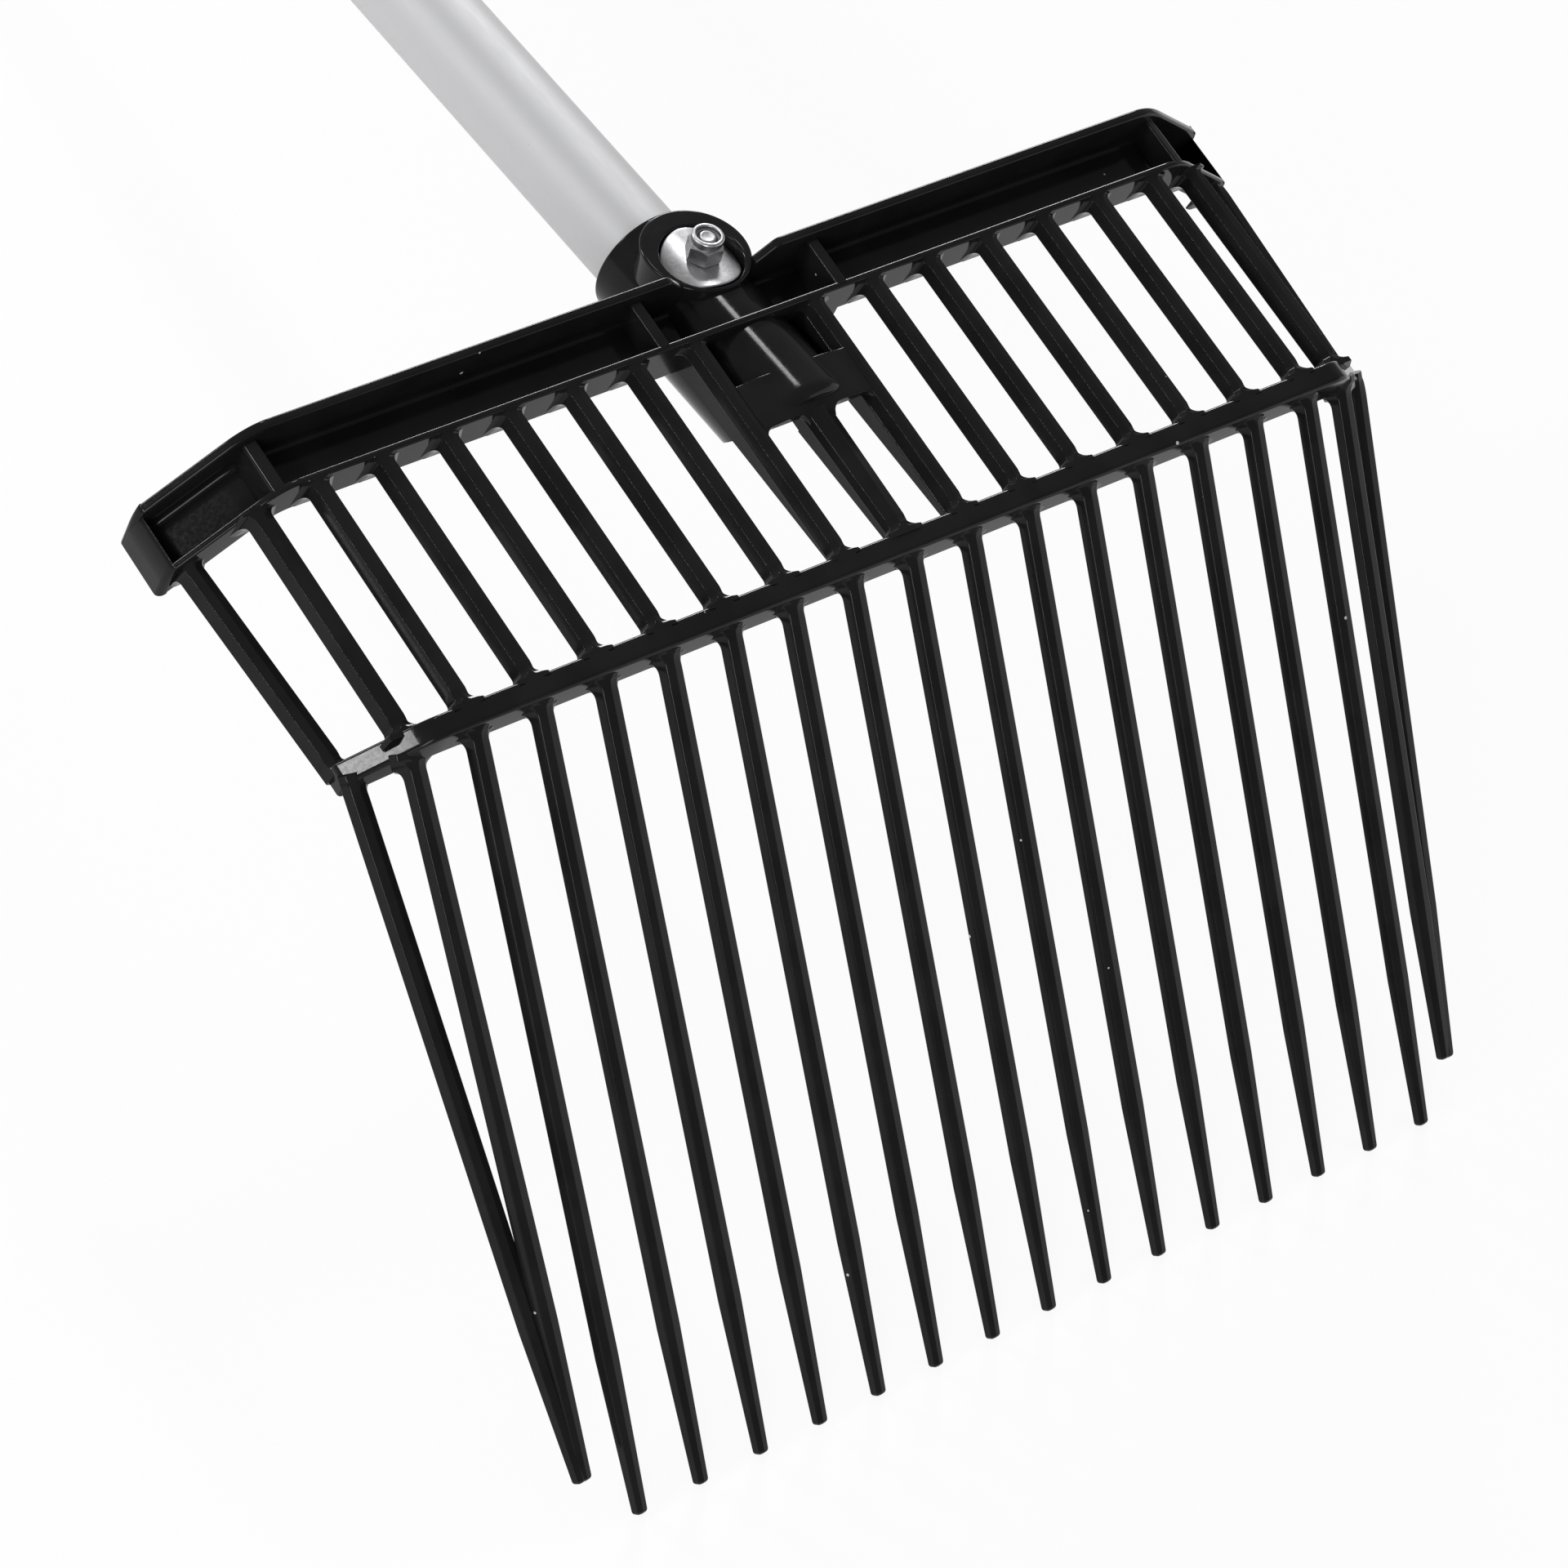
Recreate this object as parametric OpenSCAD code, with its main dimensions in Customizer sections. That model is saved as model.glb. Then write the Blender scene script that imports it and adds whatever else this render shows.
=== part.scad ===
// Manure fork: a moulded head of nineteen bent tines, bolted onto a metal tube handle.
// Lengths are in millimetres and angles in degrees. The head is drawn in its own frame: X runs across
// the head, Y from the bend of the tines towards the handle and Z out of the back, with the backs of the
// upper bars at zero. At rest the fork lies with its back up, on the tips of its tines and on the end of
// its handle.

/* [Head] */
// Distance between the middles of neighbouring tines
tine_pitch = 22; // [20:0.5:26]
// Angle between the upper bars and the lower tines
bend_angle = 42.7; // [36:0.1:50]
// Clear length of the upper bars between the crossbar and the rear beam
panel_length = 78.7; // [70:0.1:100]
// Radius in the corners of the gaps
gap_fillet = 3; // [1:0.1:4]
// Height of the ridge along the back of each bar and tine
crown = 0.5; // [0.1:0.1:1]

/* [Upper bars] */
// Width of an upper bar
bar_width = 4.5; // [3.5:0.1:6]
// Depth of an upper bar
bar_depth = 5.5; // [4:0.1:6.5]
// Depth that the fins under the three middle bars gain at the rear beam
fin_gain = 7.5; // [3:0.1:8]
// Width that the middle bar gains at the web plate
middle_bar_gain = 1.9; // [0:0.1:3]
// Thickness that the fins beside the socket gain towards it
fin_thickening = 1.8; // [0.5:0.1:2.5]

/* [Lower tines] */
// Length of a tine along its back, from the bend to its tip
tine_length = 243; // [200:1:300]
// Width of a tine
tine_width = 5.4; // [4:0.1:7]
// Depth of a tine
tine_depth = 4.6; // [3.8:0.1:6]
// Width of a tip
tip_width = 3.6; // [2.5:0.1:3.9]
// Depth of a tip
tip_depth = 3.2; // [2.5:0.1:3.7]
// Chamfer round the end of a tip
tip_chamfer = 0.9; // [0.3:0.1:1.1]
// Length of the tapered end of a tine
taper_length = 50; // [20:1:80]

/* [Crossbar] */
// Width of the crossbar
crossbar_width = 7.2; // [6:0.1:10]
// Depth of the crossbar
crossbar_depth = 9.5; // [9:0.1:12]
// Depth of the crossbar at its two ends
crossbar_end_depth = 7; // [6:0.1:9]
// Height of the crossbar above the upper bars
crossbar_rise = 0.5; // [0.1:0.1:1.5]
// Distance of the crossbar's lower face below the bend
crossbar_lead = 2.2; // [1:0.1:3]

/* [Rear beam] */
// Width of the rear beam
beam_width = 21.3; // [18:0.1:26]
// Depth of the rear beam
beam_depth = 12.5; // [10:0.1:16]
// Thickness of the front wall and of the ends of the rear beam
beam_wall = 2.4; // [1.5:0.1:3]
// Thickness of the rear wall of the rear beam
rear_wall = 3; // [1.5:0.1:3.5]
// Thickness of the floor of the rear beam
beam_floor = 2.4; // [1.5:0.1:3.5]
// Height of the front wall above the upper bars
beam_rise = 1.4; // [0.5:0.1:3]
// Height of the rear wall above the front wall
rear_wall_rise = 2.8; // [0.5:0.1:4]
// Thickness of the ribs across the rear beam
rib_thickness = 4; // [2:0.1:5]
// Radius of the upright corners at the ends of the rear beam
beam_end_radius = 2.6; // [0.5:0.1:5]
// Radius of the upper edge at the ends of the rear beam
beam_end_rounding = 2.2; // [0.5:0.1:3]

/* [Turned ends] */
// Distance from the last straight tine to the bend of the rear beam
beam_bend_gap = 12; // [9:0.1:14]
// Half the length over which the rear beam bends
beam_bend_half = 6.5; // [1:0.1:8]
// Half the length over which the crossbar bends
crossbar_bend_half = 4; // [1:0.1:8]
// Distance from the last straight tine to the bend of the crossbar
crossbar_bend_gap = 14; // [10:0.1:15]
// Slope of the ends of the rear beam
beam_end_slope = 39; // [25:0.5:45]
// Slope of the ends of the crossbar
crossbar_end_slope = 43; // [30:0.5:48]
// Run of each end of the rear beam, measured across the head
beam_end_run = 31; // [30:0.1:40]
// Distance by which the ends of the crossbar turn back towards the handle
crossbar_end_setback = 6; // [2:0.1:8]
// Distance from the last straight tine to the inner tine of a turned end
inner_end_gap = 18.2; // [17:0.1:20]
// Distance from the last straight tine to the outer tine of a turned end
outer_end_gap = 32.4; // [30:0.1:35]
// Distance from the last straight tine to the outermost upper bar, at the rear beam
outer_bar_gap = 36.4; // [34:0.1:38]
// Depth of the outermost upper bars below the turned end of the rear beam
outer_bar_drop = 1.5; // [0.5:0.1:3]
// Distance from the last straight tine to the tip of the inner tine of a turned end
end_tip_gap = 14.6; // [12:0.1:18]
// Distance between the two joined tips of a turned end
end_tip_offset = 1.3; // [0.8:0.1:1.7]
// Distance by which the joined tips fall short of the others
end_tip_shortfall = 16.5; // [5:0.1:25]
// Distance by which the joined tips stand forward of the others
end_tip_drop = 1.8; // [0.5:0.1:3]
// Depth of the roots of the turned tines below the top of the crossbar
end_root_drop = 3.8; // [2:0.1:5]

/* [Handle] */
// Outer radius of the handle tube
tube_radius = 15; // [13:0.1:18]
// Wall thickness of the handle tube
tube_wall = 1.8; // [1:0.1:3]
// Length of the handle tube
tube_length = 1200; // [600:5:1500]
// Angle between the handle and the upper bars
handle_tilt = 10; // [6:0.1:14]
// Depth of the tube in its socket, measured from the raised ring
tube_seat_depth = 38.5; // [30:0.1:39]
// Distance from the rear beam to the middle of the raised ring, along the head
ring_gap = 5.5; // [4:0.1:8]
// Depth of the handle's axis below the upper bars, under the raised ring
handle_drop = 24.1; // [22:0.1:28]

/* [Socket] */
// Wall thickness of the socket
socket_wall = 3.85; // [3:0.05:5]
// Play between the tube and its socket
socket_clearance = 0.15; // [0.05:0.05:0.4]
// Length of the socket from the raised ring to its mouth
socket_mouth_length = 18; // [17:0.1:24]
// Length of the closed nose of the socket beyond the tube's inner end
socket_nose_length = 23.1; // [21:0.1:30]
// Rounding of the socket's nose
nose_radius = 6; // [3:0.1:8]
// Angle of the cut under the nose, away from upright
nose_cut_angle = 28; // [20:0.5:32]
// Outer radius of the raised ring round the nut
ring_radius = 17; // [16:0.1:18]
// Height of the raised ring above the socket
ring_height = 1.3; // [0.5:0.1:2.5]
// Radius of the well inside the raised ring
well_radius = 12.9; // [12.5:0.1:13]
// Chamfer round the mouth of the well
well_chamfer = 0.6; // [0.2:0.1:0.8]
// Depth of the middle of the rear beam, round the socket
block_depth = 16; // [15:0.1:20]
// Distance from the middle of the head to the outer face of the ribs beside the socket
block_half_width = 34.7; // [32:0.1:38]
// Thickness of the plate between the socket and the bars beside it
web_thickness = 3; // [2:0.1:4]
// Height of that plate above the upper bars
web_rise = 1.4; // [0.5:0.1:2]
// Length of that plate
web_length = 16; // [12:0.1:18]

/* [Fastening] */
// Distance from the middle of the raised ring to the bolt, towards the head
bolt_offset = 3; // [2:0.1:3]
// Diameter of the bolt
bolt_diameter = 6; // [5:0.5:8]
// Play of the bolt in its holes, on the radius
bolt_clearance = 0.3; // [0.1:0.05:0.5]
// Radius of the bolt's cup head
bolt_head_radius = 8; // [6.5:0.1:9]
// Height of the bolt's cup head
bolt_head_height = 3.6; // [2.5:0.1:5]
// Radius of the flat seat under the bolt's head
seat_radius = 10; // [9.5:0.1:12]
// Height of that seat on the socket
seat_height = 1.5; // [0.5:0.1:3]
// Radius of the saddle washer
washer_radius = 12.3; // [11:0.1:12.5]
// Thickness of the saddle washer
washer_thickness = 1.6; // [1:0.1:2.5]
// Width of the nut across its flats
nut_flats = 10; // [9.5:0.1:13]
// Height of the hexagon of the nut
nut_hex_height = 5.6; // [4:0.1:7]
// Height of the collar of the nut above its hexagon
nut_collar_height = 3; // [2.5:0.1:4]
// Wall thickness of the collar of the nut
nut_collar_wall = 0.9; // [0.5:0.1:1.2]
// Height of the insert ring in the collar
insert_height = 1.6; // [1:0.1:1.9]
// Depth of the bolt's end below the top of the nut
bolt_end_depth = 0.8; // [0.2:0.1:1.5]

/* [Hidden] */
// Straight tines to each side of the middle one; each tine is a named piece, so the count is fixed
straight_side = 7;
// All tines to each side of the middle one
side_count = straight_side + 2;
// All tines
tine_count = side_count + side_count + 1;
// Overrun of cuts past the faces that they open
overrun = 1;
// Overlap of shapes that are fused into one piece
lap = 0.4;
// Play between the thread and the nut
thread_clearance = 0.05;
// Smoothness of round shapes
$fn = 96;
// Steps along a bend
bend_steps = 10;

// Places across the head
last_straight = straight_side * tine_pitch;
beam_bend_x = last_straight + beam_bend_gap;
beam_end_x = beam_bend_x + beam_end_run;
crossbar_bend_x = last_straight + crossbar_bend_gap;
crossbar_end_x = last_straight + outer_end_gap + tine_width / 2;
crossbar_end_run = crossbar_end_x - crossbar_bend_x;

// Places along the head
crossbar_front = -crossbar_lead;
crossbar_rear = crossbar_front + crossbar_width;
beam_front = crossbar_rear + panel_length;
beam_rear = beam_front + beam_width;
beam_bottom = beam_rise - beam_depth;
block_bottom = beam_rise - block_depth;
ring_y = beam_rear + ring_gap;

// Sizes round the handle's axis
socket_radius = tube_radius + socket_clearance + socket_wall;
bore_radius = tube_radius + socket_clearance;
socket_nose = tube_seat_depth + socket_nose_length;
bolt_radius = bolt_diameter / 2;
ring_top = socket_radius + ring_height;
washer_top = socket_radius + washer_thickness;
nut_height = nut_hex_height + nut_collar_height;
nut_top = washer_top + nut_height;
nut_bore_radius = bolt_radius + thread_clearance;
collar_radius = nut_flats / 2 - thread_clearance;
seat_bottom = socket_radius + seat_height;
handle_end = tube_length - tube_seat_depth;

// The web plate ends where the nose of the socket ends
web_front = ring_y - socket_nose * cos(handle_tilt);

// Shares of the taper of a tip that its back takes
tip_back_share = 0.35;

// Unit directions of the lower tines: along them, and out of their backs
tine_along = [0, -cos(bend_angle), -sin(bend_angle)];
tine_out = [0, -sin(bend_angle), cos(bend_angle)];

// Sign of a place across the head
function side_of(k) = k < 0 ? -1 : 1;

// Distance of tine k from the middle of the head; k counts from the middle tine
function tine_reach(k) =
    abs(k) <= straight_side ? abs(k) * tine_pitch
    : abs(k) == straight_side + 1 ? last_straight + inner_end_gap
    : last_straight + outer_end_gap;

// Place of tine k across the head
function tine_x(k) = side_of(k) * tine_reach(k);

// Distance past a bend, eased in over the bend's length
function eased(past, half) =
    past <= -half ? 0
    : past >= half ? past
    : pow(past + half, 2) / (4 * half);

// Fall of the rear beam and of the crossbar at a distance from the middle of the head
function beam_fall(reach) = eased(reach - beam_bend_x, beam_bend_half) * tan(beam_end_slope);
function crossbar_past(reach) = eased(reach - crossbar_bend_x, crossbar_bend_half);
function crossbar_fall(reach) = crossbar_past(reach) * tan(crossbar_end_slope);

// Set-back and depth of the crossbar at a distance from the middle of the head
function crossbar_setback(reach) = crossbar_past(reach) / crossbar_end_run * crossbar_end_setback;
function crossbar_deep(reach) =
    crossbar_depth + crossbar_past(reach) / crossbar_end_run * (crossbar_end_depth - crossbar_depth);

// Places along a bend, from its start to its end
function bend_places(bend, half) = [for (i = [0:bend_steps]) bend - half + 2 * half * i / bend_steps];
beam_places = concat([block_half_width], bend_places(beam_bend_x, beam_bend_half), [beam_end_x]);
crossbar_half_places = concat(bend_places(crossbar_bend_x, crossbar_bend_half), [crossbar_end_x]);
crossbar_last = len(crossbar_half_places) - 1;
crossbar_places = concat(
    [for (i = [crossbar_last:-1:0]) -crossbar_half_places[i]],
    crossbar_half_places
);

// Outline between an upper and a lower list of points that run the same way
function between(upper, lower) = concat(upper, [for (i = [len(lower) - 1:-1:0]) lower[i]]);

// Whether tine k stands on a turned end
function is_turned(k) = abs(k) > straight_side;

// Root of the back of tine k, on the lower face of the crossbar
function tine_root(k) =
    let (y = crossbar_front + crossbar_setback(tine_reach(k)))
    is_turned(k)
        ? [tine_x(k), y, crossbar_rise - crossbar_fall(tine_reach(k)) - end_root_drop + y * tan(bend_angle)]
        : [tine_x(k), y, y * tan(bend_angle)];

// Root of the back of upper bar k on the rear beam, or on the web plate in the middle
function bar_root(k) =
    k == 0 ? [0, web_front, 0]
    : abs(k) == side_count
        ? let (reach = last_straight + outer_bar_gap)
            [side_of(k) * reach, beam_front, -beam_fall(reach) - outer_bar_drop]
    : [tine_x(k), beam_front, -beam_fall(tine_reach(k))];

// Tip of the back of tine k
function tine_tip(k) =
    is_turned(k)
        ? [side_of(k) * (last_straight + end_tip_gap + (abs(k) - straight_side - 1) * end_tip_offset), 0, 0]
            + tine_along * (tine_length - end_tip_shortfall) - tine_out * end_tip_drop
        : [tine_x(k), 0, 0] + tine_along * tine_length;

// Place of a point of the handle's symmetry plane, given along the handle and out of it
function handle_point(along, out) =
    [0, ring_y + along * cos(handle_tilt) + out * sin(handle_tilt),
     -handle_drop - along * sin(handle_tilt) + out * cos(handle_tilt)];

// The fork rests on its tips and on the rim of the tube's end
tip_fall = (tine_depth - tip_depth) * tip_back_share;
tip_under = tine_along * tine_length - tine_out * (tip_depth + tip_fall - tip_chamfer);
tip_front = tine_along * tine_length - tine_out * (tip_fall + tip_chamfer);
end_under = handle_point(handle_end, -tube_radius);
end_over = handle_point(handle_end, tube_radius);
lie_angle = atan2(tip_under[2] - end_under[2], end_under[1] - tip_under[1]);

// Height and place along the fork of a point of the head frame once the fork lies down
function lain_z(p) = p[1] * sin(lie_angle) + p[2] * cos(lie_angle);
function lain_y(p) = p[1] * cos(lie_angle) - p[2] * sin(lie_angle);
lie_height = -lain_z(tip_under);
lie_shift = -(lain_y(tip_front) + lain_y(end_over)) / 2;

// Name of a numbered piece
function numbered(stem, i) = str(stem, i < 10 ? "0" : "", i);

// Lays a shape of the head frame down as the fork rests
module lain() {
    translate([0, lie_shift, lie_height])
        rotate([lie_angle, 0, 0])
            children();
}

// Places a shape whose Y axis is the handle's axis and whose Z axis is the axis of the raised ring
module on_handle() {
    translate([0, ring_y, -handle_drop])
        rotate([-handle_tilt, 0, 0])
            children();
}

// Places a shape whose Y axis is the handle's axis and whose Z axis is the bolt's axis
module on_bolt() {
    on_handle()
        translate([0, -bolt_offset, 0])
            children();
}

// Carries a profile of the XZ plane along Y, from one place to another
module along_y(from, to) {
    translate([0, to, 0])
        rotate([90, 0, 0])
            linear_extrude(height = to - from)
                children();
}

// Carries a profile of the YZ plane along X, to both sides of the middle
module along_x(width) {
    translate([-width / 2, 0, 0])
        rotate([90, 0, 90])
            linear_extrude(height = width)
                children();
}

// Profile of a ridged back over a given width; its edges lie at zero and it reaches down to a depth
module ridged_profile(width, reach, depth) {
    edge = crown - reach * crown / (width / 2);
    polygon([[-reach, -depth], [reach, -depth], [reach, edge], [0, crown], [-reach, edge]]);
}

// Two concave corners that widen the root of a bar along +Y; a side may be left out
module root_corners(width, inner = true, outer = true) {
    for (s = [-1, 1])
        if ((s < 0 && inner) || (s > 0 && outer))
            scale([s, 1])
                translate([width / 2, 0])
                    difference() {
                        translate([-lap, 0])
                            square([gap_fillet + lap, gap_fillet]);
                        translate([gap_fillet, gap_fillet])
                            circle(r = gap_fillet);
                    }
}

// Strip of the rear beam's front view between two heights, from the block to the turned end, on the right;
// the upper corner of its end is rounded
module beam_strip(high, low) {
    r = beam_end_rounding;
    corner = [beam_end_x - r, high - beam_fall(beam_end_x - r) - r / cos(beam_end_slope)];
    upper = concat(
        [for (i = [0:len(beam_places) - 2]) [beam_places[i], high - beam_fall(beam_places[i])]],
        [for (i = [0:bend_steps])
            let (a = (90 - beam_end_slope) * (1 - i / bend_steps)) corner + r * [cos(a), sin(a)]]
    );
    polygon(between(upper, [for (x = beam_places) [x, low - beam_fall(x)]]));
}

// Right half of the rear beam: a channel open towards the back, with a rib at its bend and a closed end
module beam_half() {
    rib_start = beam_bend_x - rib_thickness / 2;
    intersection() {
        union() {
            along_y(beam_front, beam_front + beam_wall)
                beam_strip(beam_rise, beam_bottom);
            along_y(beam_rear - rear_wall, beam_rear)
                beam_strip(beam_rise + rear_wall_rise, beam_bottom);
            along_y(beam_front, beam_rear)
                beam_strip(beam_bottom + beam_floor, beam_bottom);
            along_y(beam_front, beam_rear)
                intersection() {
                    beam_strip(beam_rise, beam_bottom);
                    union() {
                        translate([rib_start, beam_bottom - beam_depth])
                            square([rib_thickness, beam_depth + beam_depth + beam_rise]);
                        translate([beam_end_x - beam_wall, beam_bottom - beam_end_run])
                            square([beam_wall, beam_depth + beam_end_run]);
                    }
                }
        }
        beam_outline();
    }
}

// Upright prism of the beam's plan, with rounded corners at its end
module beam_outline() {
    tall = beam_depth + beam_end_run + rear_wall_rise;
    corner = beam_end_x - beam_end_radius;
    translate([0, 0, -tall])
        linear_extrude(height = tall + tall)
            union() {
                translate([0, beam_front])
                    square([corner, beam_width]);
                translate([0, beam_front + beam_end_radius])
                    square([beam_end_x, beam_width - 2 * beam_end_radius]);
                for (y = [beam_front + beam_end_radius, beam_rear - beam_end_radius])
                    translate([corner, y])
                        circle(r = beam_end_radius);
            }
}

// Middle of the rear beam, which the socket passes through
module beam_block() {
    wall_x = block_half_width - rib_thickness;
    along_y(beam_front, beam_front + beam_wall)
        block_rectangle(block_half_width, block_bottom, beam_rise);
    along_y(beam_rear - rear_wall, beam_rear)
        block_rectangle(block_half_width, block_bottom, beam_rise + rear_wall_rise);
    along_y(beam_front, beam_rear) {
        block_rectangle(block_half_width, block_bottom, block_bottom + beam_floor);
        difference() {
            block_rectangle(block_half_width, block_bottom, beam_rise);
            block_rectangle(wall_x, block_bottom - overrun, beam_rise + overrun);
        }
    }
}

// Rectangle of the front view, to both sides of the middle and between two heights
module block_rectangle(half_width, low, high) {
    translate([-half_width, low])
        square([half_width + half_width, high - low]);
}

// Outside of the socket, turned about the handle's axis, with a rounded nose that is cut away underneath
module socket_outside() {
    corner = socket_radius - nose_radius;
    difference() {
        on_handle()
            rotate([-90, 0, 0])
                rotate_extrude()
                    union() {
                        translate([0, nose_radius - socket_nose])
                            square([socket_radius, socket_nose - nose_radius + socket_mouth_length]);
                        translate([0, -socket_nose])
                            square([corner, socket_nose + socket_mouth_length]);
                        intersection() {
                            translate([corner, nose_radius - socket_nose])
                                circle(r = nose_radius);
                            translate([0, -socket_nose])
                                square([socket_radius, socket_nose]);
                        }
                    }
        translate([0, web_front, web_rise - web_thickness])
            rotate([nose_cut_angle, 0, 0])
                translate([-socket_radius - overrun, -socket_nose, -socket_nose - socket_nose])
                    cube([2 * (socket_radius + overrun), socket_nose, socket_nose + socket_nose]);
    }
}

// Room over the raised ring and its well, cut out of the rear wall; its sides open upwards
module ring_room() {
    high = ring_radius;
    on_handle()
        translate([0, 0, ring_top])
            cylinder(r1 = ring_radius, r2 = ring_radius + high, h = high);
}

// Raised ring on the socket, with a flat top and a well round the washer; the well follows the bolt
module raised_ring() {
    difference() {
        on_handle()
            cylinder(r = ring_radius, h = ring_top);
        on_bolt() {
            cylinder(r = well_radius, h = ring_top + overrun);
            translate([0, 0, ring_top - well_chamfer])
                cylinder(r1 = well_radius, r2 = well_radius + well_chamfer, h = well_chamfer);
            translate([0, 0, ring_top])
                cylinder(r = well_radius + well_chamfer, h = overrun);
        }
    }
}

// Plate that ties the socket to the bars beside it, with rounded gap ends at its lower edge
module web_plate() {
    half = tine_pitch - bar_width / 2;
    foot_half = (bar_width + middle_bar_gain) / 2;
    translate([0, web_front, web_rise - web_thickness])
        linear_extrude(height = web_thickness) {
            translate([-half, 0])
                square([half + half, web_length]);
            for (s = [-1, 1])
                scale([s, -1]) {
                    translate([foot_half, 0])
                        gap_corner();
                    translate([half, 0])
                        scale([-1, 1])
                            gap_corner();
                }
        }
}

// Concave corner of a gap, between a bar along +Y and a face along +X, joined to the shape above the face
module gap_corner() {
    difference() {
        translate([0, -lap])
            square([gap_fillet, gap_fillet + lap]);
        translate([gap_fillet, gap_fillet])
            circle(r = gap_fillet);
    }
}

// Foot of the middle bar under the nose of the socket
module nose_foot() {
    foot = fin_height(web_front);
    foot_width = bar_width + middle_bar_gain;
    translate([-foot_width / 2, web_front, -bar_depth - foot])
        cube([foot_width, nose_radius, bar_depth + foot]);
}

// Depth that a fin has gained at a place along the head
function fin_height(y) = fin_gain * (y - crossbar_rear) / panel_length;

// Socket of the handle, with the middle of the rear beam, the raised ring, the web plate and the bolt's seat
module handle_socket() {
    color("dimgray")
        difference() {
            union() {
                difference() {
                    union() {
                        beam_block();
                        web_plate();
                        nose_foot();
                    }
                    ring_room();
                    on_bolt()
                        cylinder(r = well_radius, h = ring_top + overrun);
                }
                socket_outside();
                raised_ring();
                on_bolt()
                    translate([0, 0, -seat_bottom])
                        cylinder(r = seat_radius, h = seat_bottom);
            }
            on_handle()
                translate([0, -tube_seat_depth, 0])
                    rotate([-90, 0, 0])
                        cylinder(r = bore_radius, h = tube_seat_depth + socket_mouth_length + overrun);
            on_bolt()
                translate([0, 0, -seat_bottom - overrun])
                    cylinder(r = bolt_radius + bolt_clearance, h = seat_bottom + ring_top + overrun);
        }
}

// Half of the rear beam on one side
module rear_beam(side) {
    color("gray")
        scale([side, 1, 1])
            beam_half();
}

// Height of the crossbar's top at a place across the head
function crossbar_top(x) = crossbar_rise - crossbar_fall(abs(x));

// Crossbar at the bend of the head, with ends that turn forward and back towards the handle
module crossbar() {
    color("slategray")
        intersection() {
            along_y(crossbar_front - overrun, crossbar_rear + crossbar_end_setback + overrun)
                polygon(between(
                    [for (x = crossbar_places) [x, crossbar_top(x)]],
                    [for (x = crossbar_places) [x, crossbar_top(x) - crossbar_deep(abs(x))]]
                ));
            crossbar_prism();
        }
}

// Upright prism of the crossbar's plan
module crossbar_prism() {
    tall = crossbar_depth + crossbar_end_run + crossbar_end_run;
    translate([0, 0, -tall])
        linear_extrude(height = tall + tall)
            polygon(between(
                [for (x = crossbar_places) [x, crossbar_rear + crossbar_setback(abs(x))]],
                [for (x = crossbar_places) [x, crossbar_front + crossbar_setback(abs(x))]]
            ));
}

// Fin under a bar, deeper towards the handle
module bar_fin(rear, half_width, thickening) {
    translate([-half_width - thickening, 0, 0])
        rotate([90, 0, 90])
            linear_extrude(height = half_width + half_width + thickening)
                polygon([
                    [crossbar_rear, -bar_depth], [crossbar_rear, -bar_depth + lap], [rear, -bar_depth + lap],
                    [rear, -bar_depth - fin_height(rear)]
                ]);
}

// Places a shape that runs along -Y from the root of upper bar k on the rear beam to the crossbar
module on_bar(k) {
    root = bar_root(k);
    foot = [tine_x(k), crossbar_rear + crossbar_setback(tine_reach(k))];
    translate(root)
        rotate([0, 0, atan2(foot[0] - root[0], root[1] - foot[1])])
            children();
}

// Plan of upper bar k, with widened roots; the roots of turned bars run into what they meet
module bar_plan(k) {
    root = bar_root(k);
    long = norm([root[0] - tine_x(k), root[1] - crossbar_rear - crossbar_setback(tine_reach(k))]);
    more = is_turned(k) ? lap : 0;
    root_width = bar_width + (k == 0 ? middle_bar_gain : 0);
    polygon([
        [-bar_width / 2, -long - more], [bar_width / 2, -long - more],
        [root_width / 2, more], [-root_width / 2, more]
    ]);
    if (k != 0)
        translate([0, more])
            scale([side_of(k), -1])
                root_corners(root_width, true, abs(k) < side_count);
    translate([0, -long - more])
        scale([side_of(k), 1])
            root_corners(bar_width, true, abs(k) < side_count);
}

// Upper bar k, from the rear beam or, in the middle, from the web plate to the crossbar
module upper_bar(k) {
    beside = abs(k) == 1;
    color("darkgray")
        difference() {
            union() {
                intersection() {
                    on_bar(k)
                        translate([0, 0, -bar_depth])
                            linear_extrude(height = bar_depth + crown)
                                bar_plan(k);
                    on_bar(k)
                        along_y(-panel_length - crossbar_width, crossbar_width)
                            ridged_profile(bar_width, bar_width / 2 + gap_fillet + lap, bar_depth + overrun);
                }
                if (beside || k == 0)
                    translate([tine_x(k), 0, 0])
                        scale([side_of(k), 1, 1])
                            bar_fin(bar_root(k)[1], bar_width / 2, beside ? fin_thickening : 0);
            }
            if (is_turned(k)) {
                crossbar_prism();
                beam_outline();
                scale([-1, 1, 1])
                    beam_outline();
            }
            if (beside)
                socket_outside();
        }
}

// Places a shape that runs along -Y from the root of tine k to its tip, with its back up
module on_tine(k) {
    run = tine_tip(k) - tine_root(k);
    translate(tine_root(k))
        rotate([atan2(-run[2], norm([run[0], run[1]])), 0, atan2(run[0], -run[1])])
            children();
}

// Plan of tine k, tapered to its tip
module tine_plan(k) {
    long = norm(tine_tip(k) - tine_root(k));
    polygon([
        [-tine_width / 2, overrun], [tine_width / 2, overrun], [tine_width / 2, taper_length - long],
        [tip_width / 2, tip_chamfer - long], [tip_width / 2 - tip_chamfer, -long],
        [tip_chamfer - tip_width / 2, -long], [-tip_width / 2, tip_chamfer - long],
        [-tine_width / 2, taper_length - long]
    ]);
}

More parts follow.
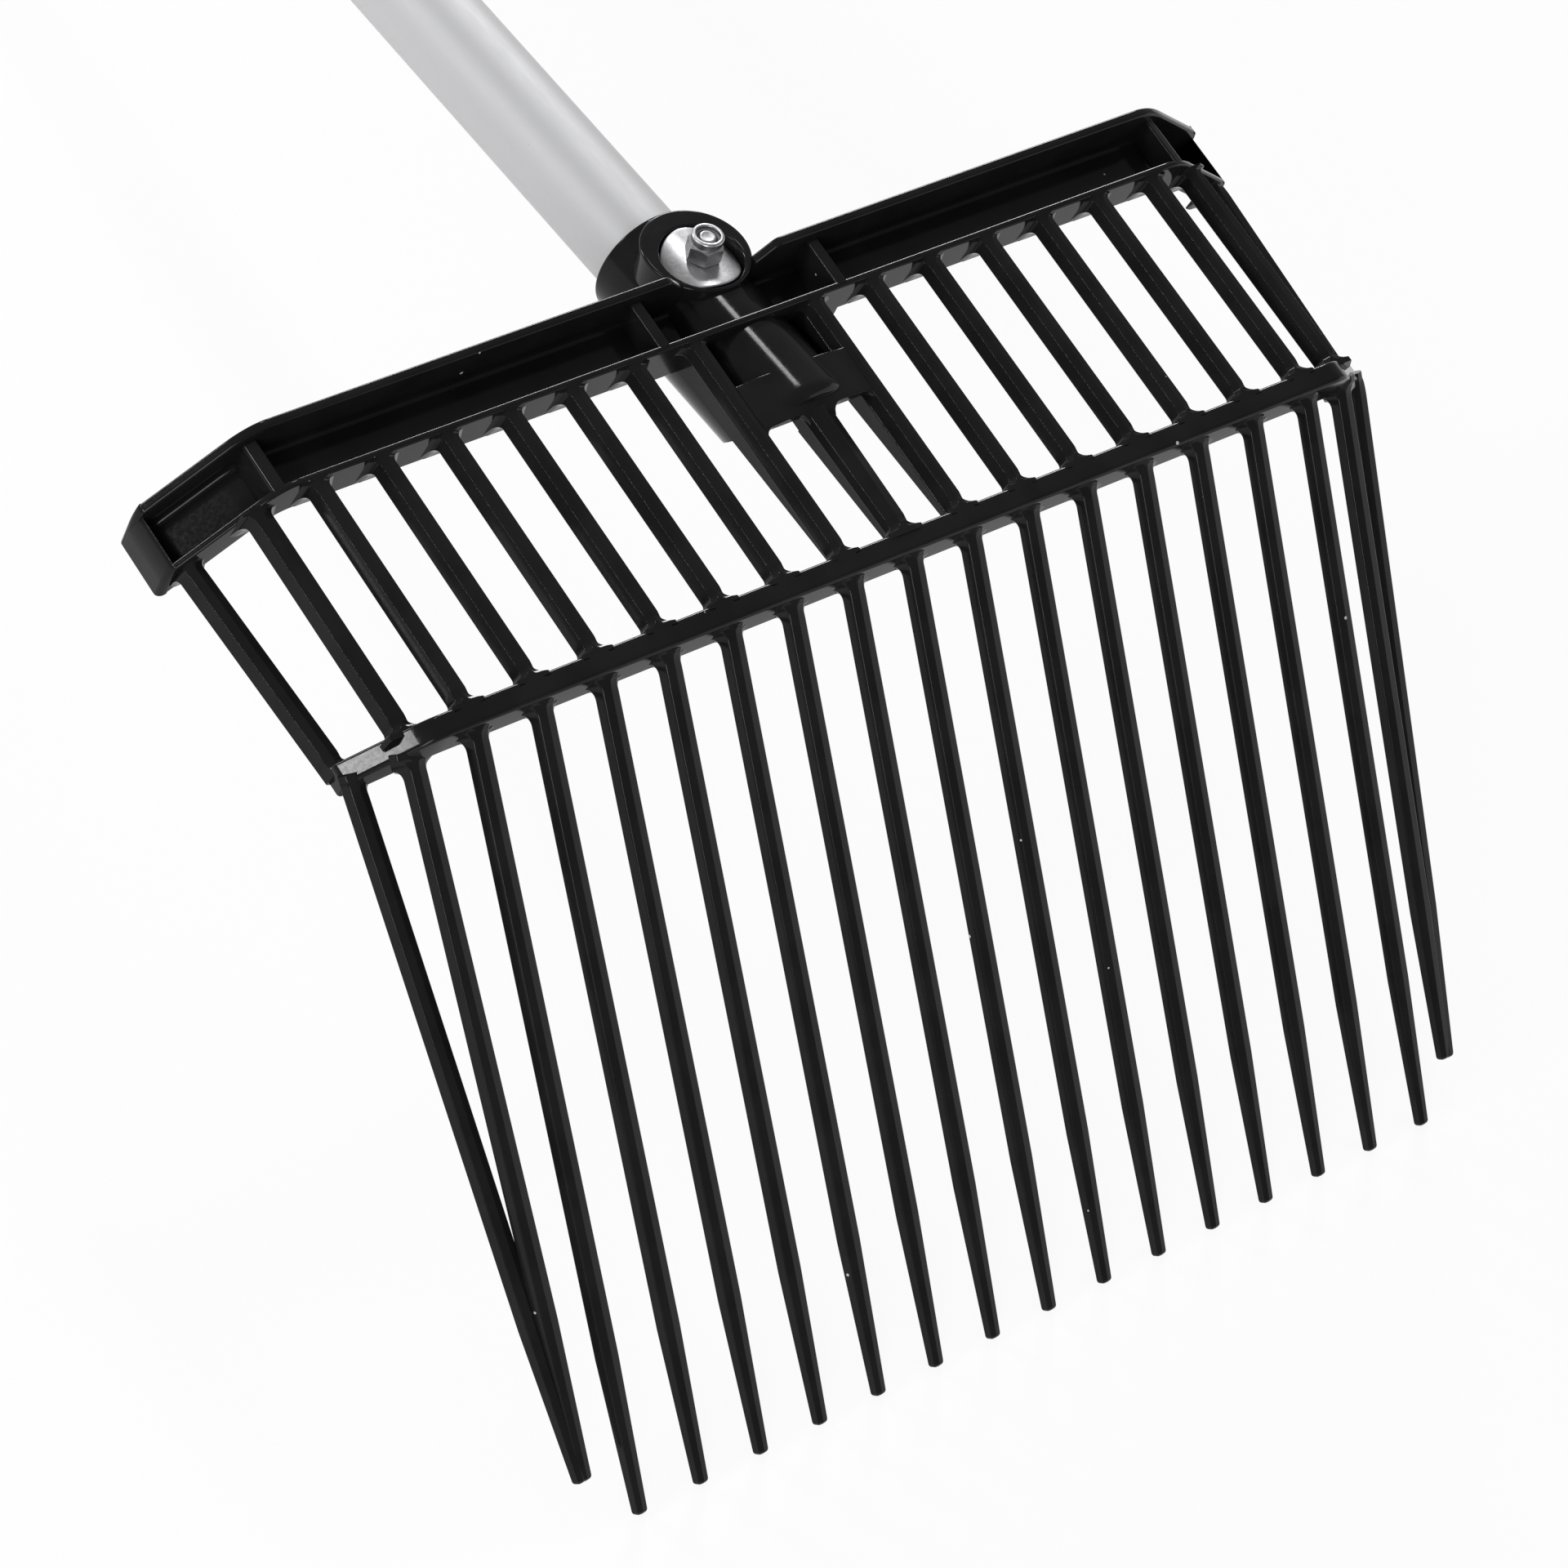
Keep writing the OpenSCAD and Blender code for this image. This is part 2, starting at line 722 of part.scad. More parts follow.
// Side view of tine k, tapered to its tip
module tine_side(k) {
    long = norm(tine_tip(k) - tine_root(k));
    back = crown - tip_fall;
    under = -tip_fall - tip_depth;
    polygon([
        [overrun, crown], [taper_length - long, crown], [tip_chamfer - long, back],
        [-long, back - tip_chamfer], [-long, under + tip_chamfer], [tip_chamfer - long, under],
        [taper_length - long, -tine_depth], [overrun, -tine_depth]
    ]);
}

// Lower tine k, from the crossbar to its tip; the outermost ends against the side of its neighbour
module tine(k) {
    root = tine_root(k);
    wide = tine_width / 2 + gap_fillet + lap;
    long = norm(tine_tip(k) - root);
    outermost = abs(k) == side_count;
    color("lightgray")
        difference() {
            intersection() {
                on_tine(k)
                    along_x(wide + wide)
                        tine_side(k);
                on_tine(k)
                    along_y(-long - overrun, overrun + overrun)
                        ridged_profile(tine_width, wide, tine_depth + overrun);
                union() {
                    on_tine(k)
                        translate([0, 0, -tine_depth - overrun])
                            linear_extrude(height = tine_depth + crown + overrun + overrun)
                                tine_plan(k);
                    translate([root[0], root[1], root[2] - crossbar_depth])
                        linear_extrude(height = crossbar_depth + crossbar_depth)
                            scale([side_of(k), -1])
                                root_corners(tine_width, true, !outermost);
                }
            }
            crossbar_prism();
            if (outermost)
                on_tine(k - side_of(k))
                    translate([0, 0, -tine_length])
                        linear_extrude(height = tine_length + tine_length) {
                            tine_plan(k - side_of(k));
                            translate([-tip_width / 2, -tine_length])
                                square([tip_width, end_tip_shortfall + tip_chamfer]);
                        }
        }
}

// Handle tube, with the two holes of the bolt
module handle_tube() {
    color("silver")
        on_handle()
            difference() {
                translate([0, -tube_seat_depth, 0])
                    rotate([-90, 0, 0])
                        difference() {
                            cylinder(r = tube_radius, h = tube_length);
                            translate([0, 0, -overrun])
                                cylinder(r = tube_radius - tube_wall, h = tube_length + overrun + overrun);
                        }
                translate([0, -bolt_offset, -tube_radius - overrun])
                    cylinder(r = bolt_radius + bolt_clearance, h = 2 * (tube_radius + overrun));
            }
}

// Bolt with a cup head on the carrying side
module clamp_bolt() {
    cup = (pow(bolt_head_radius, 2) + pow(bolt_head_height, 2)) / (2 * bolt_head_height);
    color("gainsboro")
        on_bolt()
            union() {
                translate([0, 0, -seat_bottom - lap])
                    cylinder(r = bolt_radius, h = seat_bottom + lap + nut_top - bolt_end_depth);
                intersection() {
                    translate([0, 0, cup - seat_bottom - bolt_head_height])
                        sphere(r = cup);
                    translate([0, 0, -seat_bottom - bolt_head_height])
                        cylinder(r = bolt_head_radius + overrun, h = bolt_head_height);
                }
            }
}

// Washer bent round the socket
module saddle_washer() {
    color("lightsteelblue")
        on_bolt()
            difference() {
                intersection() {
                    cylinder(r = washer_radius, h = washer_top + overrun);
                    rotate([-90, 0, 0])
                        translate([0, 0, -washer_radius - overrun])
                            difference() {
                                cylinder(r = washer_top, h = 2 * (washer_radius + overrun));
                                translate([0, 0, -overrun])
                                    cylinder(r = socket_radius, h = 2 * (washer_radius + overrun + overrun));
                            }
                }
                cylinder(r = bolt_radius + bolt_clearance, h = washer_top + overrun);
            }
}

// Lock nut: a hexagon with a collar that holds the insert ring
module lock_nut() {
    corner_radius = nut_flats / 2 / cos(30);
    recess_radius = collar_radius - nut_collar_wall;
    color("whitesmoke")
        on_bolt()
            translate([0, 0, washer_top])
                difference() {
                    union() {
                        cylinder(r = corner_radius, h = nut_hex_height, $fn = 6);
                        cylinder(r = collar_radius, h = nut_height);
                    }
                    translate([0, 0, -overrun])
                        cylinder(r = nut_bore_radius, h = nut_height + overrun + overrun);
                    translate([0, 0, nut_hex_height])
                        cylinder(r = recess_radius, h = nut_collar_height + overrun);
                }
}

// Insert ring in the collar of the nut
module nut_insert() {
    color("lightblue")
        on_bolt()
            translate([0, 0, washer_top + nut_hex_height])
                difference() {
                    cylinder(r = collar_radius - nut_collar_wall, h = insert_height);
                    translate([0, 0, -overrun])
                        cylinder(r = nut_bore_radius, h = insert_height + overrun + overrun);
                }
}

lain()  // rear_beam_left
        rear_beam(-1);

lain()  // rear_beam_right
        rear_beam(1);

lain()
        handle_socket();

lain()
        crossbar();

for (i = [1:tine_count])
    lain()
            upper_bar(i - side_count - 1);

for (i = [1:tine_count])
    lain()
            tine(i - side_count - 1);

lain()
        handle_tube();

lain()
        clamp_bolt();

lain()
        saddle_washer();

lain()
        lock_nut();

lain()
        nut_insert();
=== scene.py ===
"""Dressed model of a manure fork: a moulded comb head of bent tines on a metal tube handle.

All shapes are numpy surfaces in the head's own frame, in millimetres: X runs across the head, Y from the
bend of the tines towards the handle and Z out of the back. They are then laid down as the fork rests, in
metres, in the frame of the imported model.
"""

from __future__ import annotations

import logging
import math
from dataclasses import dataclass, field
from enum import Enum
from typing import Any

import bmesh
import bpy
import numpy as np
from mathutils import Matrix, Vector

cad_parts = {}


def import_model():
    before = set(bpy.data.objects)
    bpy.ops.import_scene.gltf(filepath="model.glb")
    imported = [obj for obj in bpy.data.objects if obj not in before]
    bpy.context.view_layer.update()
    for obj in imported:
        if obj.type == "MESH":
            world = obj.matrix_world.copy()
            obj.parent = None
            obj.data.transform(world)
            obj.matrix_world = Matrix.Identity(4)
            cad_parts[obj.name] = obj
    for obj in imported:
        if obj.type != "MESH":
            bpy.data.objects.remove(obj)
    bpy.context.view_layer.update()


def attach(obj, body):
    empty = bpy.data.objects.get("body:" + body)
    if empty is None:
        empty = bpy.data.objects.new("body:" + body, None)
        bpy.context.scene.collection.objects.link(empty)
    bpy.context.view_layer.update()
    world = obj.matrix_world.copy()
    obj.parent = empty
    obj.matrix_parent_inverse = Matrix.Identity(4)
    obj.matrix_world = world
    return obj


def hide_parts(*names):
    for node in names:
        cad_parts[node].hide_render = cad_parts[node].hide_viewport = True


LOG = logging.getLogger("manure_fork")
Array = np.ndarray
MM = 0.001
ARC_STEPS = 4
ROUND_STEPS = 96
SHARP_ANGLE = math.radians(50.0)
MERGE_DISTANCE = 1e-6
NORMAL_WEIGHT = 80
MIX_SHARE, MIX_FIRST, MIX_SECOND, MIX_COLOUR = 0, 6, 7, 2


class Slot(Enum):
    """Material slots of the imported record."""

    PLASTIC = "black_plastic"
    TUBE = "satin_tube"
    ZINC = "zinc_plate"
    NYLON = "nylon"


class Side(Enum):
    """The two sides of the head, with their sign along X."""

    LEFT = -1
    RIGHT = 1


@dataclass
class Patch:
    """A bare surface: points, four-sided faces and flat end faces."""

    points: Array
    quads: Array
    caps: list[list[int]] = field(default_factory=list)

    def moved(self, points: Array) -> Patch:
        """Put the same faces on other points."""
        return Patch(points, self.quads, self.caps)


def grid(x: Array, y: Array, z: Array) -> Array:
    """Spread three coordinates over one common grid of points."""
    return np.stack(np.broadcast_arrays(x, y, z), -1)


def quarter_turn(count: int) -> Array:
    """Angles spread evenly from zero to a quarter turn."""
    return np.linspace(0.0, math.pi / 2.0, count)


def full_turn(steps: int) -> Array:
    """Angles spread evenly over a full turn."""
    return np.arange(steps) * 2.0 * math.pi / steps


def mirrored(half: Array) -> Array:
    """Places on both sides of the middle, from those on one side, which start at zero."""
    return np.concatenate([-half[:0:-1], half])


def smooth(share: Array) -> Array:
    """Ease a share in and out: three times its square less twice its cube."""
    return share * share * (3.0 - 2.0 * share)


def skin(rings: Array, capped: bool = True, looped: bool = False) -> Patch:
    """Cover a grid of points whose rows are closed outlines.

    Point (i, j) is joined to its neighbours (i, j + 1) and (i + 1, j); the outlines close in j.

    Args:
        rings: Points, shaped (rows, outline, 3).
        capped: Whether flat faces close the first and the last row.
        looped: Whether the last row is joined to the first, as in a ring.

    Returns:
        The covered grid.
    """
    rows, count = rings.shape[:2]
    index = np.arange(rows * count).reshape(rows, count)
    index = np.concatenate([index, index[:1]]) if looped else index
    index = np.concatenate([index, index[:, :1]], axis=1)
    quads = np.stack([index[:-1, :-1], index[:-1, 1:], index[1:, 1:], index[1:, :-1]], axis=-1).reshape(-1, 4)
    caps = [] if looped or not capped else [index[0, :-1][::-1].tolist(), index[-1, :-1].tolist()]
    return Patch(rings.reshape(-1, 3), quads, caps)


def joined(patches: list[Patch]) -> Patch:
    """Put several patches into one.

    Args:
        patches: The patches, each with its own numbering.

    Returns:
        One patch whose numbering runs on from patch to patch.
    """
    starts = np.cumsum([0] + [len(p.points) for p in patches])
    points = np.concatenate([p.points for p in patches])
    quads = np.concatenate([p.quads + s for p, s in zip(patches, starts)])
    caps = [[i + int(s) for i in cap] for p, s in zip(patches, starts) for cap in p.caps]
    return Patch(points, quads, caps)


def rounded_outline(corners: Array, radii: Array, steps: int = ARC_STEPS) -> Array:
    """Round the corners of a closed outline.

    Each corner gives way to an arc that touches both of its edges: the arc's centre lies on the bisector at
    radius / sin(half the corner's angle), and its points turn evenly from one touching point to the other.

    Args:
        corners: Corner points, shaped (corners, 2).
        radii: One radius for each corner.
        steps: Steps along each arc.

    Returns:
        Points of the rounded outline, shaped (corners * (steps + 1), 2).
    """
    before = np.roll(corners, 1, axis=0) - corners
    after = np.roll(corners, -1, axis=0) - corners
    before = before / np.linalg.norm(before, axis=1, keepdims=True)
    after = after / np.linalg.norm(after, axis=1, keepdims=True)
    half = 0.5 * np.arccos(np.clip((before * after).sum(1), -1.0, 1.0))
    bisector = before + after
    bisector = bisector / np.linalg.norm(bisector, axis=1, keepdims=True)
    centre = corners + bisector * (radii / np.sin(half))[:, None]
    reach = (radii / np.tan(half))[:, None]
    first = corners + before * reach - centre
    last = corners + after * reach - centre
    turn = (math.pi - 2.0 * half)[:, None]
    share = np.linspace(0.0, 1.0, steps + 1)[None, :]
    w_first = np.sin((1.0 - share) * turn) / np.sin(turn)
    w_last = np.sin(share * turn) / np.sin(turn)
    arcs = centre[:, None] + w_first[..., None] * first[:, None] + w_last[..., None] * last[:, None]
    return arcs.reshape(-1, 2)


def rounded_box(low: Array, high: Array, radius: float, steps: int = ARC_STEPS) -> Patch:
    """Box with rounded edges and corners.

    A ball of the given radius is cut into eight parts, which move apart to the corners of the box: a point is
    the middle of the box, plus the sign of its direction times the half size less the radius, plus the
    direction times the radius.

    Args:
        low: Lowest corner.
        high: Highest corner.
        radius: Radius of the edges.
        steps: Steps along each quarter turn.

    Returns:
        The closed surface.
    """
    low, high = np.asarray(low, float), np.asarray(high, float)
    quarter = quarter_turn(steps + 1)
    round_angle = (quarter[None, :] + np.arange(4)[:, None] * math.pi / 2.0).reshape(-1)
    sign_x = np.repeat([1.0, -1.0, -1.0, 1.0], steps + 1)
    sign_y = np.repeat([1.0, 1.0, -1.0, -1.0], steps + 1)
    lift = np.concatenate([quarter - math.pi / 2.0, quarter])[:, None]
    sign_z = np.repeat([-1.0, 1.0], steps + 1)[:, None]
    flat = np.cos(lift)
    direction = grid(flat * np.cos(round_angle), flat * np.sin(round_angle), np.sin(lift))
    sign = grid(sign_x, sign_y, sign_z)
    return skin((low + high) / 2.0 + sign * ((high - low) / 2.0 - radius) + direction * radius)


def turned(profile: Array, steps: int = ROUND_STEPS, looped: bool = False) -> Patch:
    """Turn a profile about the Z axis.

    A point is (radius cos a, radius sin a, height) for each angle a of a full turn.

    Args:
        profile: Radii and heights, shaped (points, 2).
        steps: Steps of the full turn.
        looped: Whether the profile closes on itself.

    Returns:
        The turned surface; an open profile is closed by flat faces at its ends.
    """
    angle = full_turn(steps)
    radius, height = profile[:, :1], profile[:, 1:]
    return skin(grid(radius * np.cos(angle), radius * np.sin(angle), height), looped=looped)


def concave_corner(distance: Array, radius: float) -> Array:
    """Width that a concave corner adds at a distance from the face it meets.

    The corner is a quarter circle: radius less the root of radius squared less (radius less distance) squared.

    Args:
        distance: Distances from the face.
        radius: Radius of the corner.

    Returns:
        Added widths, from the radius at the face to zero at one radius from it.
    """
    short = radius - np.clip(distance, 0.0, radius)
    return radius - np.sqrt(np.maximum(radius * radius - short * short, 0.0))


def eased(past: Array, half: float) -> Array:
    """Distance past a bend, eased in over the bend's length.

    It is zero before the bend, the distance itself after it, and between them the square of the distance from
    the bend's start over four times its half length.

    Args:
        past: Distances past the middle of the bend.
        half: Half the bend's length.

    Returns:
        Eased distances.
    """
    past = np.asarray(past, float)
    return np.where(past <= -half, 0.0, np.where(past >= half, past, np.square(past + half) / (4.0 * half)))


@dataclass(frozen=True)
class HeadSizes:
    """Sizes of the head, in millimetres and degrees, as in the part's source."""

    pitch: float = 22.0
    straight_side: int = 7
    side_count: int = 9
    bend_angle: float = 42.7
    panel_length: float = 78.7
    gap_fillet: float = 3.0
    crown: float = 0.5
    bar_width: float = 4.5
    bar_depth: float = 5.5
    fin_gain: float = 7.5
    fin_thickening: float = 1.8
    tine_length: float = 243.0
    tine_width: float = 5.4
    tine_depth: float = 4.6
    tip_width: float = 3.6
    tip_depth: float = 3.2
    tip_chamfer: float = 0.9
    tip_back_share: float = 0.35
    taper_length: float = 50.0
    crossbar_width: float = 7.2
    crossbar_depth: float = 9.5
    crossbar_end_depth: float = 7.0
    crossbar_rise: float = 0.5
    crossbar_lead: float = 2.2
    beam_width: float = 21.3
    beam_depth: float = 12.5
    beam_wall: float = 2.4
    rear_wall: float = 3.0
    beam_floor: float = 2.4
    beam_rise: float = 1.4
    rear_wall_rise: float = 2.8
    rib_thickness: float = 4.0
    beam_bend_half: float = 6.5
    crossbar_bend_half: float = 4.0
    beam_bend_gap: float = 12.0
    crossbar_bend_gap: float = 14.0
    beam_end_slope: float = 39.0
    crossbar_end_slope: float = 43.0
    beam_end_run: float = 31.0
    crossbar_end_setback: float = 6.0
    inner_end_gap: float = 18.2
    outer_end_gap: float = 32.4
    outer_bar_gap: float = 36.4
    outer_bar_drop: float = 1.5
    end_tip_gap: float = 14.6
    end_tip_offset: float = 1.3
    end_tip_shortfall: float = 16.5
    end_tip_drop: float = 1.8
    end_root_drop: float = 3.8

    @property
    def last_straight(self) -> float:
        """Place of the last straight tine across the head."""
        return self.straight_side * self.pitch

    @property
    def beam_bend_x(self) -> float:
        """Place of the beam's bend across the head."""
        return self.last_straight + self.beam_bend_gap

    @property
    def beam_end_x(self) -> float:
        """Place of the beam's end across the head."""
        return self.beam_bend_x + self.beam_end_run

    @property
    def crossbar_bend_x(self) -> float:
        """Place of the crossbar's bend across the head."""
        return self.last_straight + self.crossbar_bend_gap

    @property
    def crossbar_end_x(self) -> float:
        """Place of the crossbar's end across the head."""
        return self.last_straight + self.outer_end_gap + self.tine_width / 2.0

    @property
    def crossbar_front(self) -> float:
        """Place of the crossbar's lower face along the head."""
        return -self.crossbar_lead

    @property
    def crossbar_rear(self) -> float:
        """Place of the crossbar's upper face along the head."""
        return self.crossbar_front + self.crossbar_width

    @property
    def beam_front(self) -> float:
        """Place of the beam's front face along the head."""
        return self.crossbar_rear + self.panel_length

    @property
    def beam_rear(self) -> float:
        """Place of the beam's rear face along the head."""
        return self.beam_front + self.beam_width

    @property
    def beam_bottom(self) -> float:
        """Height of the beam's underside."""
        return self.beam_rise - self.beam_depth

    @property
    def tine_along(self) -> Array:
        """Direction along the straight tines."""
        angle = math.radians(self.bend_angle)
        return np.array([0.0, -math.cos(angle), -math.sin(angle)])

    @property
    def tine_out(self) -> Array:
        """Direction out of the backs of the straight tines."""
        angle = math.radians(self.bend_angle)
        return np.array([0.0, -math.sin(angle), math.cos(angle)])

    def reach(self, k: int) -> float:
        """Distance of tine k from the middle of the head.

        Args:
            k: Number of the tine, counted from the middle.

        Returns:
            The distance, in millimetres.
        """
        if abs(k) <= self.straight_side:
            return abs(k) * self.pitch
        inner = abs(k) == self.straight_side + 1
        return self.last_straight + (self.inner_end_gap if inner else self.outer_end_gap)

    def turned_end(self, k: int) -> bool:
        """Whether tine k stands on a turned end."""
        return abs(k) > self.straight_side

    def beam_fall(self, reach: Array) -> Array:
        """Fall of the rear beam at distances from the middle of the head."""
        return eased(reach - self.beam_bend_x, self.beam_bend_half) * math.tan(math.radians(self.beam_end_slope))

    def crossbar_past(self, reach: Array) -> Array:
        """Eased distance past the crossbar's bend."""
        return eased(reach - self.crossbar_bend_x, self.crossbar_bend_half)

    def crossbar_fall(self, reach: Array) -> Array:
        """Fall of the crossbar at distances from the middle of the head."""
        return self.crossbar_past(reach) * math.tan(math.radians(self.crossbar_end_slope))

    def crossbar_setback(self, reach: Array) -> Array:
        """Set-back of the crossbar at distances from the middle of the head."""
        run = self.crossbar_end_x - self.crossbar_bend_x
        return self.crossbar_past(reach) / run * self.crossbar_end_setback

    def crossbar_deep(self, reach: Array) -> Array:
        """Depth of the crossbar at distances from the middle of the head."""
        run = self.crossbar_end_x - self.crossbar_bend_x
        return self.crossbar_depth + self.crossbar_past(reach) / run * (self.crossbar_end_depth - self.crossbar_depth)

    def tine_root(self, k: int) -> Array:
        """Root of the back of tine k, on the lower face of the crossbar.

        Args:
            k: Number of the tine, counted from the middle.

        Returns:
            The point, in the head's frame.
        """
        reach = self.reach(k)
        y = self.crossbar_front + float(self.crossbar_setback(reach))
        z = y * math.tan(math.radians(self.bend_angle))
        if self.turned_end(k):
            z += self.crossbar_rise - float(self.crossbar_fall(reach)) - self.end_root_drop
        return np.array([math.copysign(reach, k), y, z])

    def tine_tip(self, k: int) -> Array:
        """Tip of the back of tine k.

        Args:
            k: Number of the tine, counted from the middle.

        Returns:
            The point, in the head's frame.
        """
        if not self.turned_end(k):
            return np.array([k * self.pitch, 0.0, 0.0]) + self.tine_along * self.tine_length
        gap = self.end_tip_gap + (abs(k) - self.straight_side - 1) * self.end_tip_offset
        foot = np.array([math.copysign(self.last_straight + gap, k), 0.0, 0.0])
        return foot + self.tine_along * (self.tine_length - self.end_tip_shortfall) - self.tine_out * self.end_tip_drop

    def fin_height(self, y: Array) -> Array:
        """Depth that a fin has gained at places along the head."""
        return self.fin_gain * np.clip((y - self.crossbar_rear) / self.panel_length, 0.0, 1.0)


@dataclass(frozen=True)
class HandleSizes:
    """Sizes of the handle, its socket and its fastening, in millimetres and degrees."""

    tube_radius: float = 15.0
    tube_wall: float = 1.8
    tube_length: float = 1200.0
    tilt: float = 10.0
    tube_seat_depth: float = 38.5
    ring_gap: float = 5.5
    drop: float = 24.1
    socket_wall: float = 3.85
    socket_clearance: float = 0.15
    mouth_length: float = 18.0
    nose_length: float = 23.1
    nose_radius: float = 6.0
    nose_cut_angle: float = 28.0
    ring_radius: float = 17.0
    ring_height: float = 1.3
    well_radius: float = 12.9
    block_depth: float = 16.0
    block_half_width: float = 34.7
    web_thickness: float = 3.0
    web_rise: float = 1.4
    web_length: float = 16.0
    bolt_offset: float = 3.0
    bolt_radius: float = 3.0
    bolt_head_radius: float = 8.0
    bolt_head_height: float = 3.6
    seat_radius: float = 10.0
    seat_height: float = 1.5
    washer_radius: float = 12.3
    washer_thickness: float = 1.6
    hole_radius: float = 3.3
    nut_flats: float = 10.0
    nut_hex_height: float = 5.6
    nut_collar_height: float = 3.0
    nut_collar_wall: float = 0.9
    insert_height: float = 1.6
    bolt_end_depth: float = 0.8
    thread_clearance: float = 0.05

    @property
    def socket_radius(self) -> float:
        """Outer radius of the socket."""
        return self.tube_radius + self.socket_clearance + self.socket_wall

    @property
    def bore_radius(self) -> float:
        """Inner radius of the socket."""
        return self.tube_radius + self.socket_clearance

    @property
    def nose(self) -> float:
        """Distance from the raised ring to the end of the socket's nose."""
        return self.tube_seat_depth + self.nose_length

    @property
    def ring_top(self) -> float:
        """Height of the raised ring over the handle's axis."""
        return self.socket_radius + self.ring_height

    @property
    def washer_top(self) -> float:
        """Height of the washer's crown over the handle's axis."""
        return self.socket_radius + self.washer_thickness

    @property
    def nut_height(self) -> float:
        """Height of the nut with its collar."""
        return self.nut_hex_height + self.nut_collar_height

    @property
    def handle_end(self) -> float:
        """Distance from the raised ring to the free end of the tube."""
        return self.tube_length - self.tube_seat_depth

    @property
    def seat_bottom(self) -> float:
        """Depth of the bolt's seat under the handle's axis."""
        return self.socket_radius + self.seat_height


HEAD = HeadSizes()
HANDLE = HandleSizes()
RING_Y = HEAD.beam_rear + HANDLE.ring_gap
WEB_FRONT = RING_Y - HANDLE.nose * math.cos(math.radians(HANDLE.tilt))


def on_handle(points: Array, shift: float = 0.0) -> Array:
    """Place points whose Y axis is the handle's axis and whose Z axis is the raised ring's.

    The points turn about X by the handle's tilt, then move to the middle of the raised ring.

    Args:
        points: Points in the handle's frame.
        shift: Distance to move first along the handle.

    Returns:
        Points in the head's frame.
    """
    angle = math.radians(-HANDLE.tilt)
    x, y, z = points[..., 0], points[..., 1] + shift, points[..., 2]
    ahead = y * math.cos(angle) - z * math.sin(angle) + RING_Y
    return grid(x, ahead, y * math.sin(angle) + z * math.cos(angle) - HANDLE.drop)


def on_bolt(patch: Patch) -> Patch:
    """Place a patch whose Z axis is the bolt's axis."""
    return patch.moved(on_handle(patch.points, -HANDLE.bolt_offset))


def laid_down(points: Array) -> Array:
    """Lay points of the head's frame down as the fork rests.

    The fork turns about X until its tips and the rim of the tube's end are level, and then moves so that they
    touch the floor and its box is centred along Y.

    Args:
        points: Points in the head's frame, in millimetres.

    Returns:
        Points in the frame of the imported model, in metres.
    """
    fall = (HEAD.tine_depth - HEAD.tip_depth) * HEAD.tip_back_share
    tip = HEAD.tine_along * HEAD.tine_length
    under = tip - HEAD.tine_out * (HEAD.tip_depth + fall - HEAD.tip_chamfer)
    front = tip - HEAD.tine_out * (fall + HEAD.tip_chamfer)
    end, rim = HANDLE.handle_end, HANDLE.tube_radius
    rims = on_handle(np.array([[0.0, end, -rim], [0.0, end, rim]]))
    angle = math.atan2(under[2] - rims[0, 2], rims[0, 1] - under[1])
    cos, sin = math.cos(angle), math.sin(angle)
    turn = np.array([[1.0, 0.0, 0.0], [0.0, cos, -sin], [0.0, sin, cos]])
    shift = np.array([0.0, -((turn @ front)[1] + (turn @ rims[1])[1]) / 2.0, -(turn @ under)[2]])
    return (points @ turn.T + shift) * MM


class NodeSheet:
    """A shader node tree that is written node by node."""

    def __init__(self, tree: bpy.types.NodeTree) -> None:
        """Start on a tree."""
        self.tree = tree

    def add(self, kind: str, **values: Any) -> bpy.types.Node:
        """Add a node.

        Args:
            kind: Blender's name of the node's type.
            **values: Properties of the node.

        Returns:
            The new node.
        """
        node = self.tree.nodes.new(kind)
        for name, value in values.items():
            setattr(node, name, value)
        return node

    def feed(self, node: bpy.types.Node, **values: Any) -> bpy.types.Node:
        """Set or link inputs of a node, with spaces in their names written as underscores.

        Args:
            node: The node.
            **values: Sockets to link or plain values to set.

        Returns:
            The same node.
        """
        for name, value in values.items():
            self.into(node.inputs[name.replace("_", " ")], value)
        return node

    def into(self, socket: bpy.types.NodeSocket, value: Any) -> None:
        """Link a socket to an input, or set a plain value on it.

        Args:
            socket: The input.
            value: A socket to link or a plain value to set.
        """
        if isinstance(value, bpy.types.NodeSocket):
            self.tree.links.new(value, socket)
        else:
            socket.default_value = value

    def math(self, operation: str, *values: Any) -> bpy.types.NodeSocket:
        """Add a math node and return its result.

        Args:
            operation: Blender's name of the operation.
            *values: Its sockets or plain values, in order.

        Returns:
            The result's socket.
        """
        node = self.add("ShaderNodeMath", operation=operation)
        for socket, value in zip(node.inputs, values):
            self.into(socket, value)
        return node.outputs[0]

    def ranged(self, value: Any, low: float, high: float, to_low: float, to_high: float) -> bpy.types.NodeSocket:
        """Carry a value smoothly from one range to another and return the result.

        Args:
            value: The value's socket.
            low: Lower end of its range.
            high: Upper end of its range.
            to_low: Result at the lower end.
            to_high: Result at the upper end.

        Returns:
            The result's socket.
        """
        node = self.add("ShaderNodeMapRange", interpolation_type="SMOOTHSTEP")
        self.feed(node, Value=value, From_Min=low, From_Max=high, To_Min=to_low, To_Max=to_high)
        return node.outputs[0]

    def mixed(self, share: Any, first: Any, second: Any) -> bpy.types.NodeSocket:
        """Mix two colours and return the result.

        Args:
            share: Share of the second colour.
            first: First colour.
            second: Second colour.

        Returns:
            The mixed colour's socket.
        """
        node = self.add("ShaderNodeMix", data_type="RGBA")
        for socket, value in ((MIX_SHARE, share), (MIX_FIRST, first), (MIX_SECOND, second)):
            self.into(node.inputs[socket], value)
        return node.outputs[MIX_COLOUR]


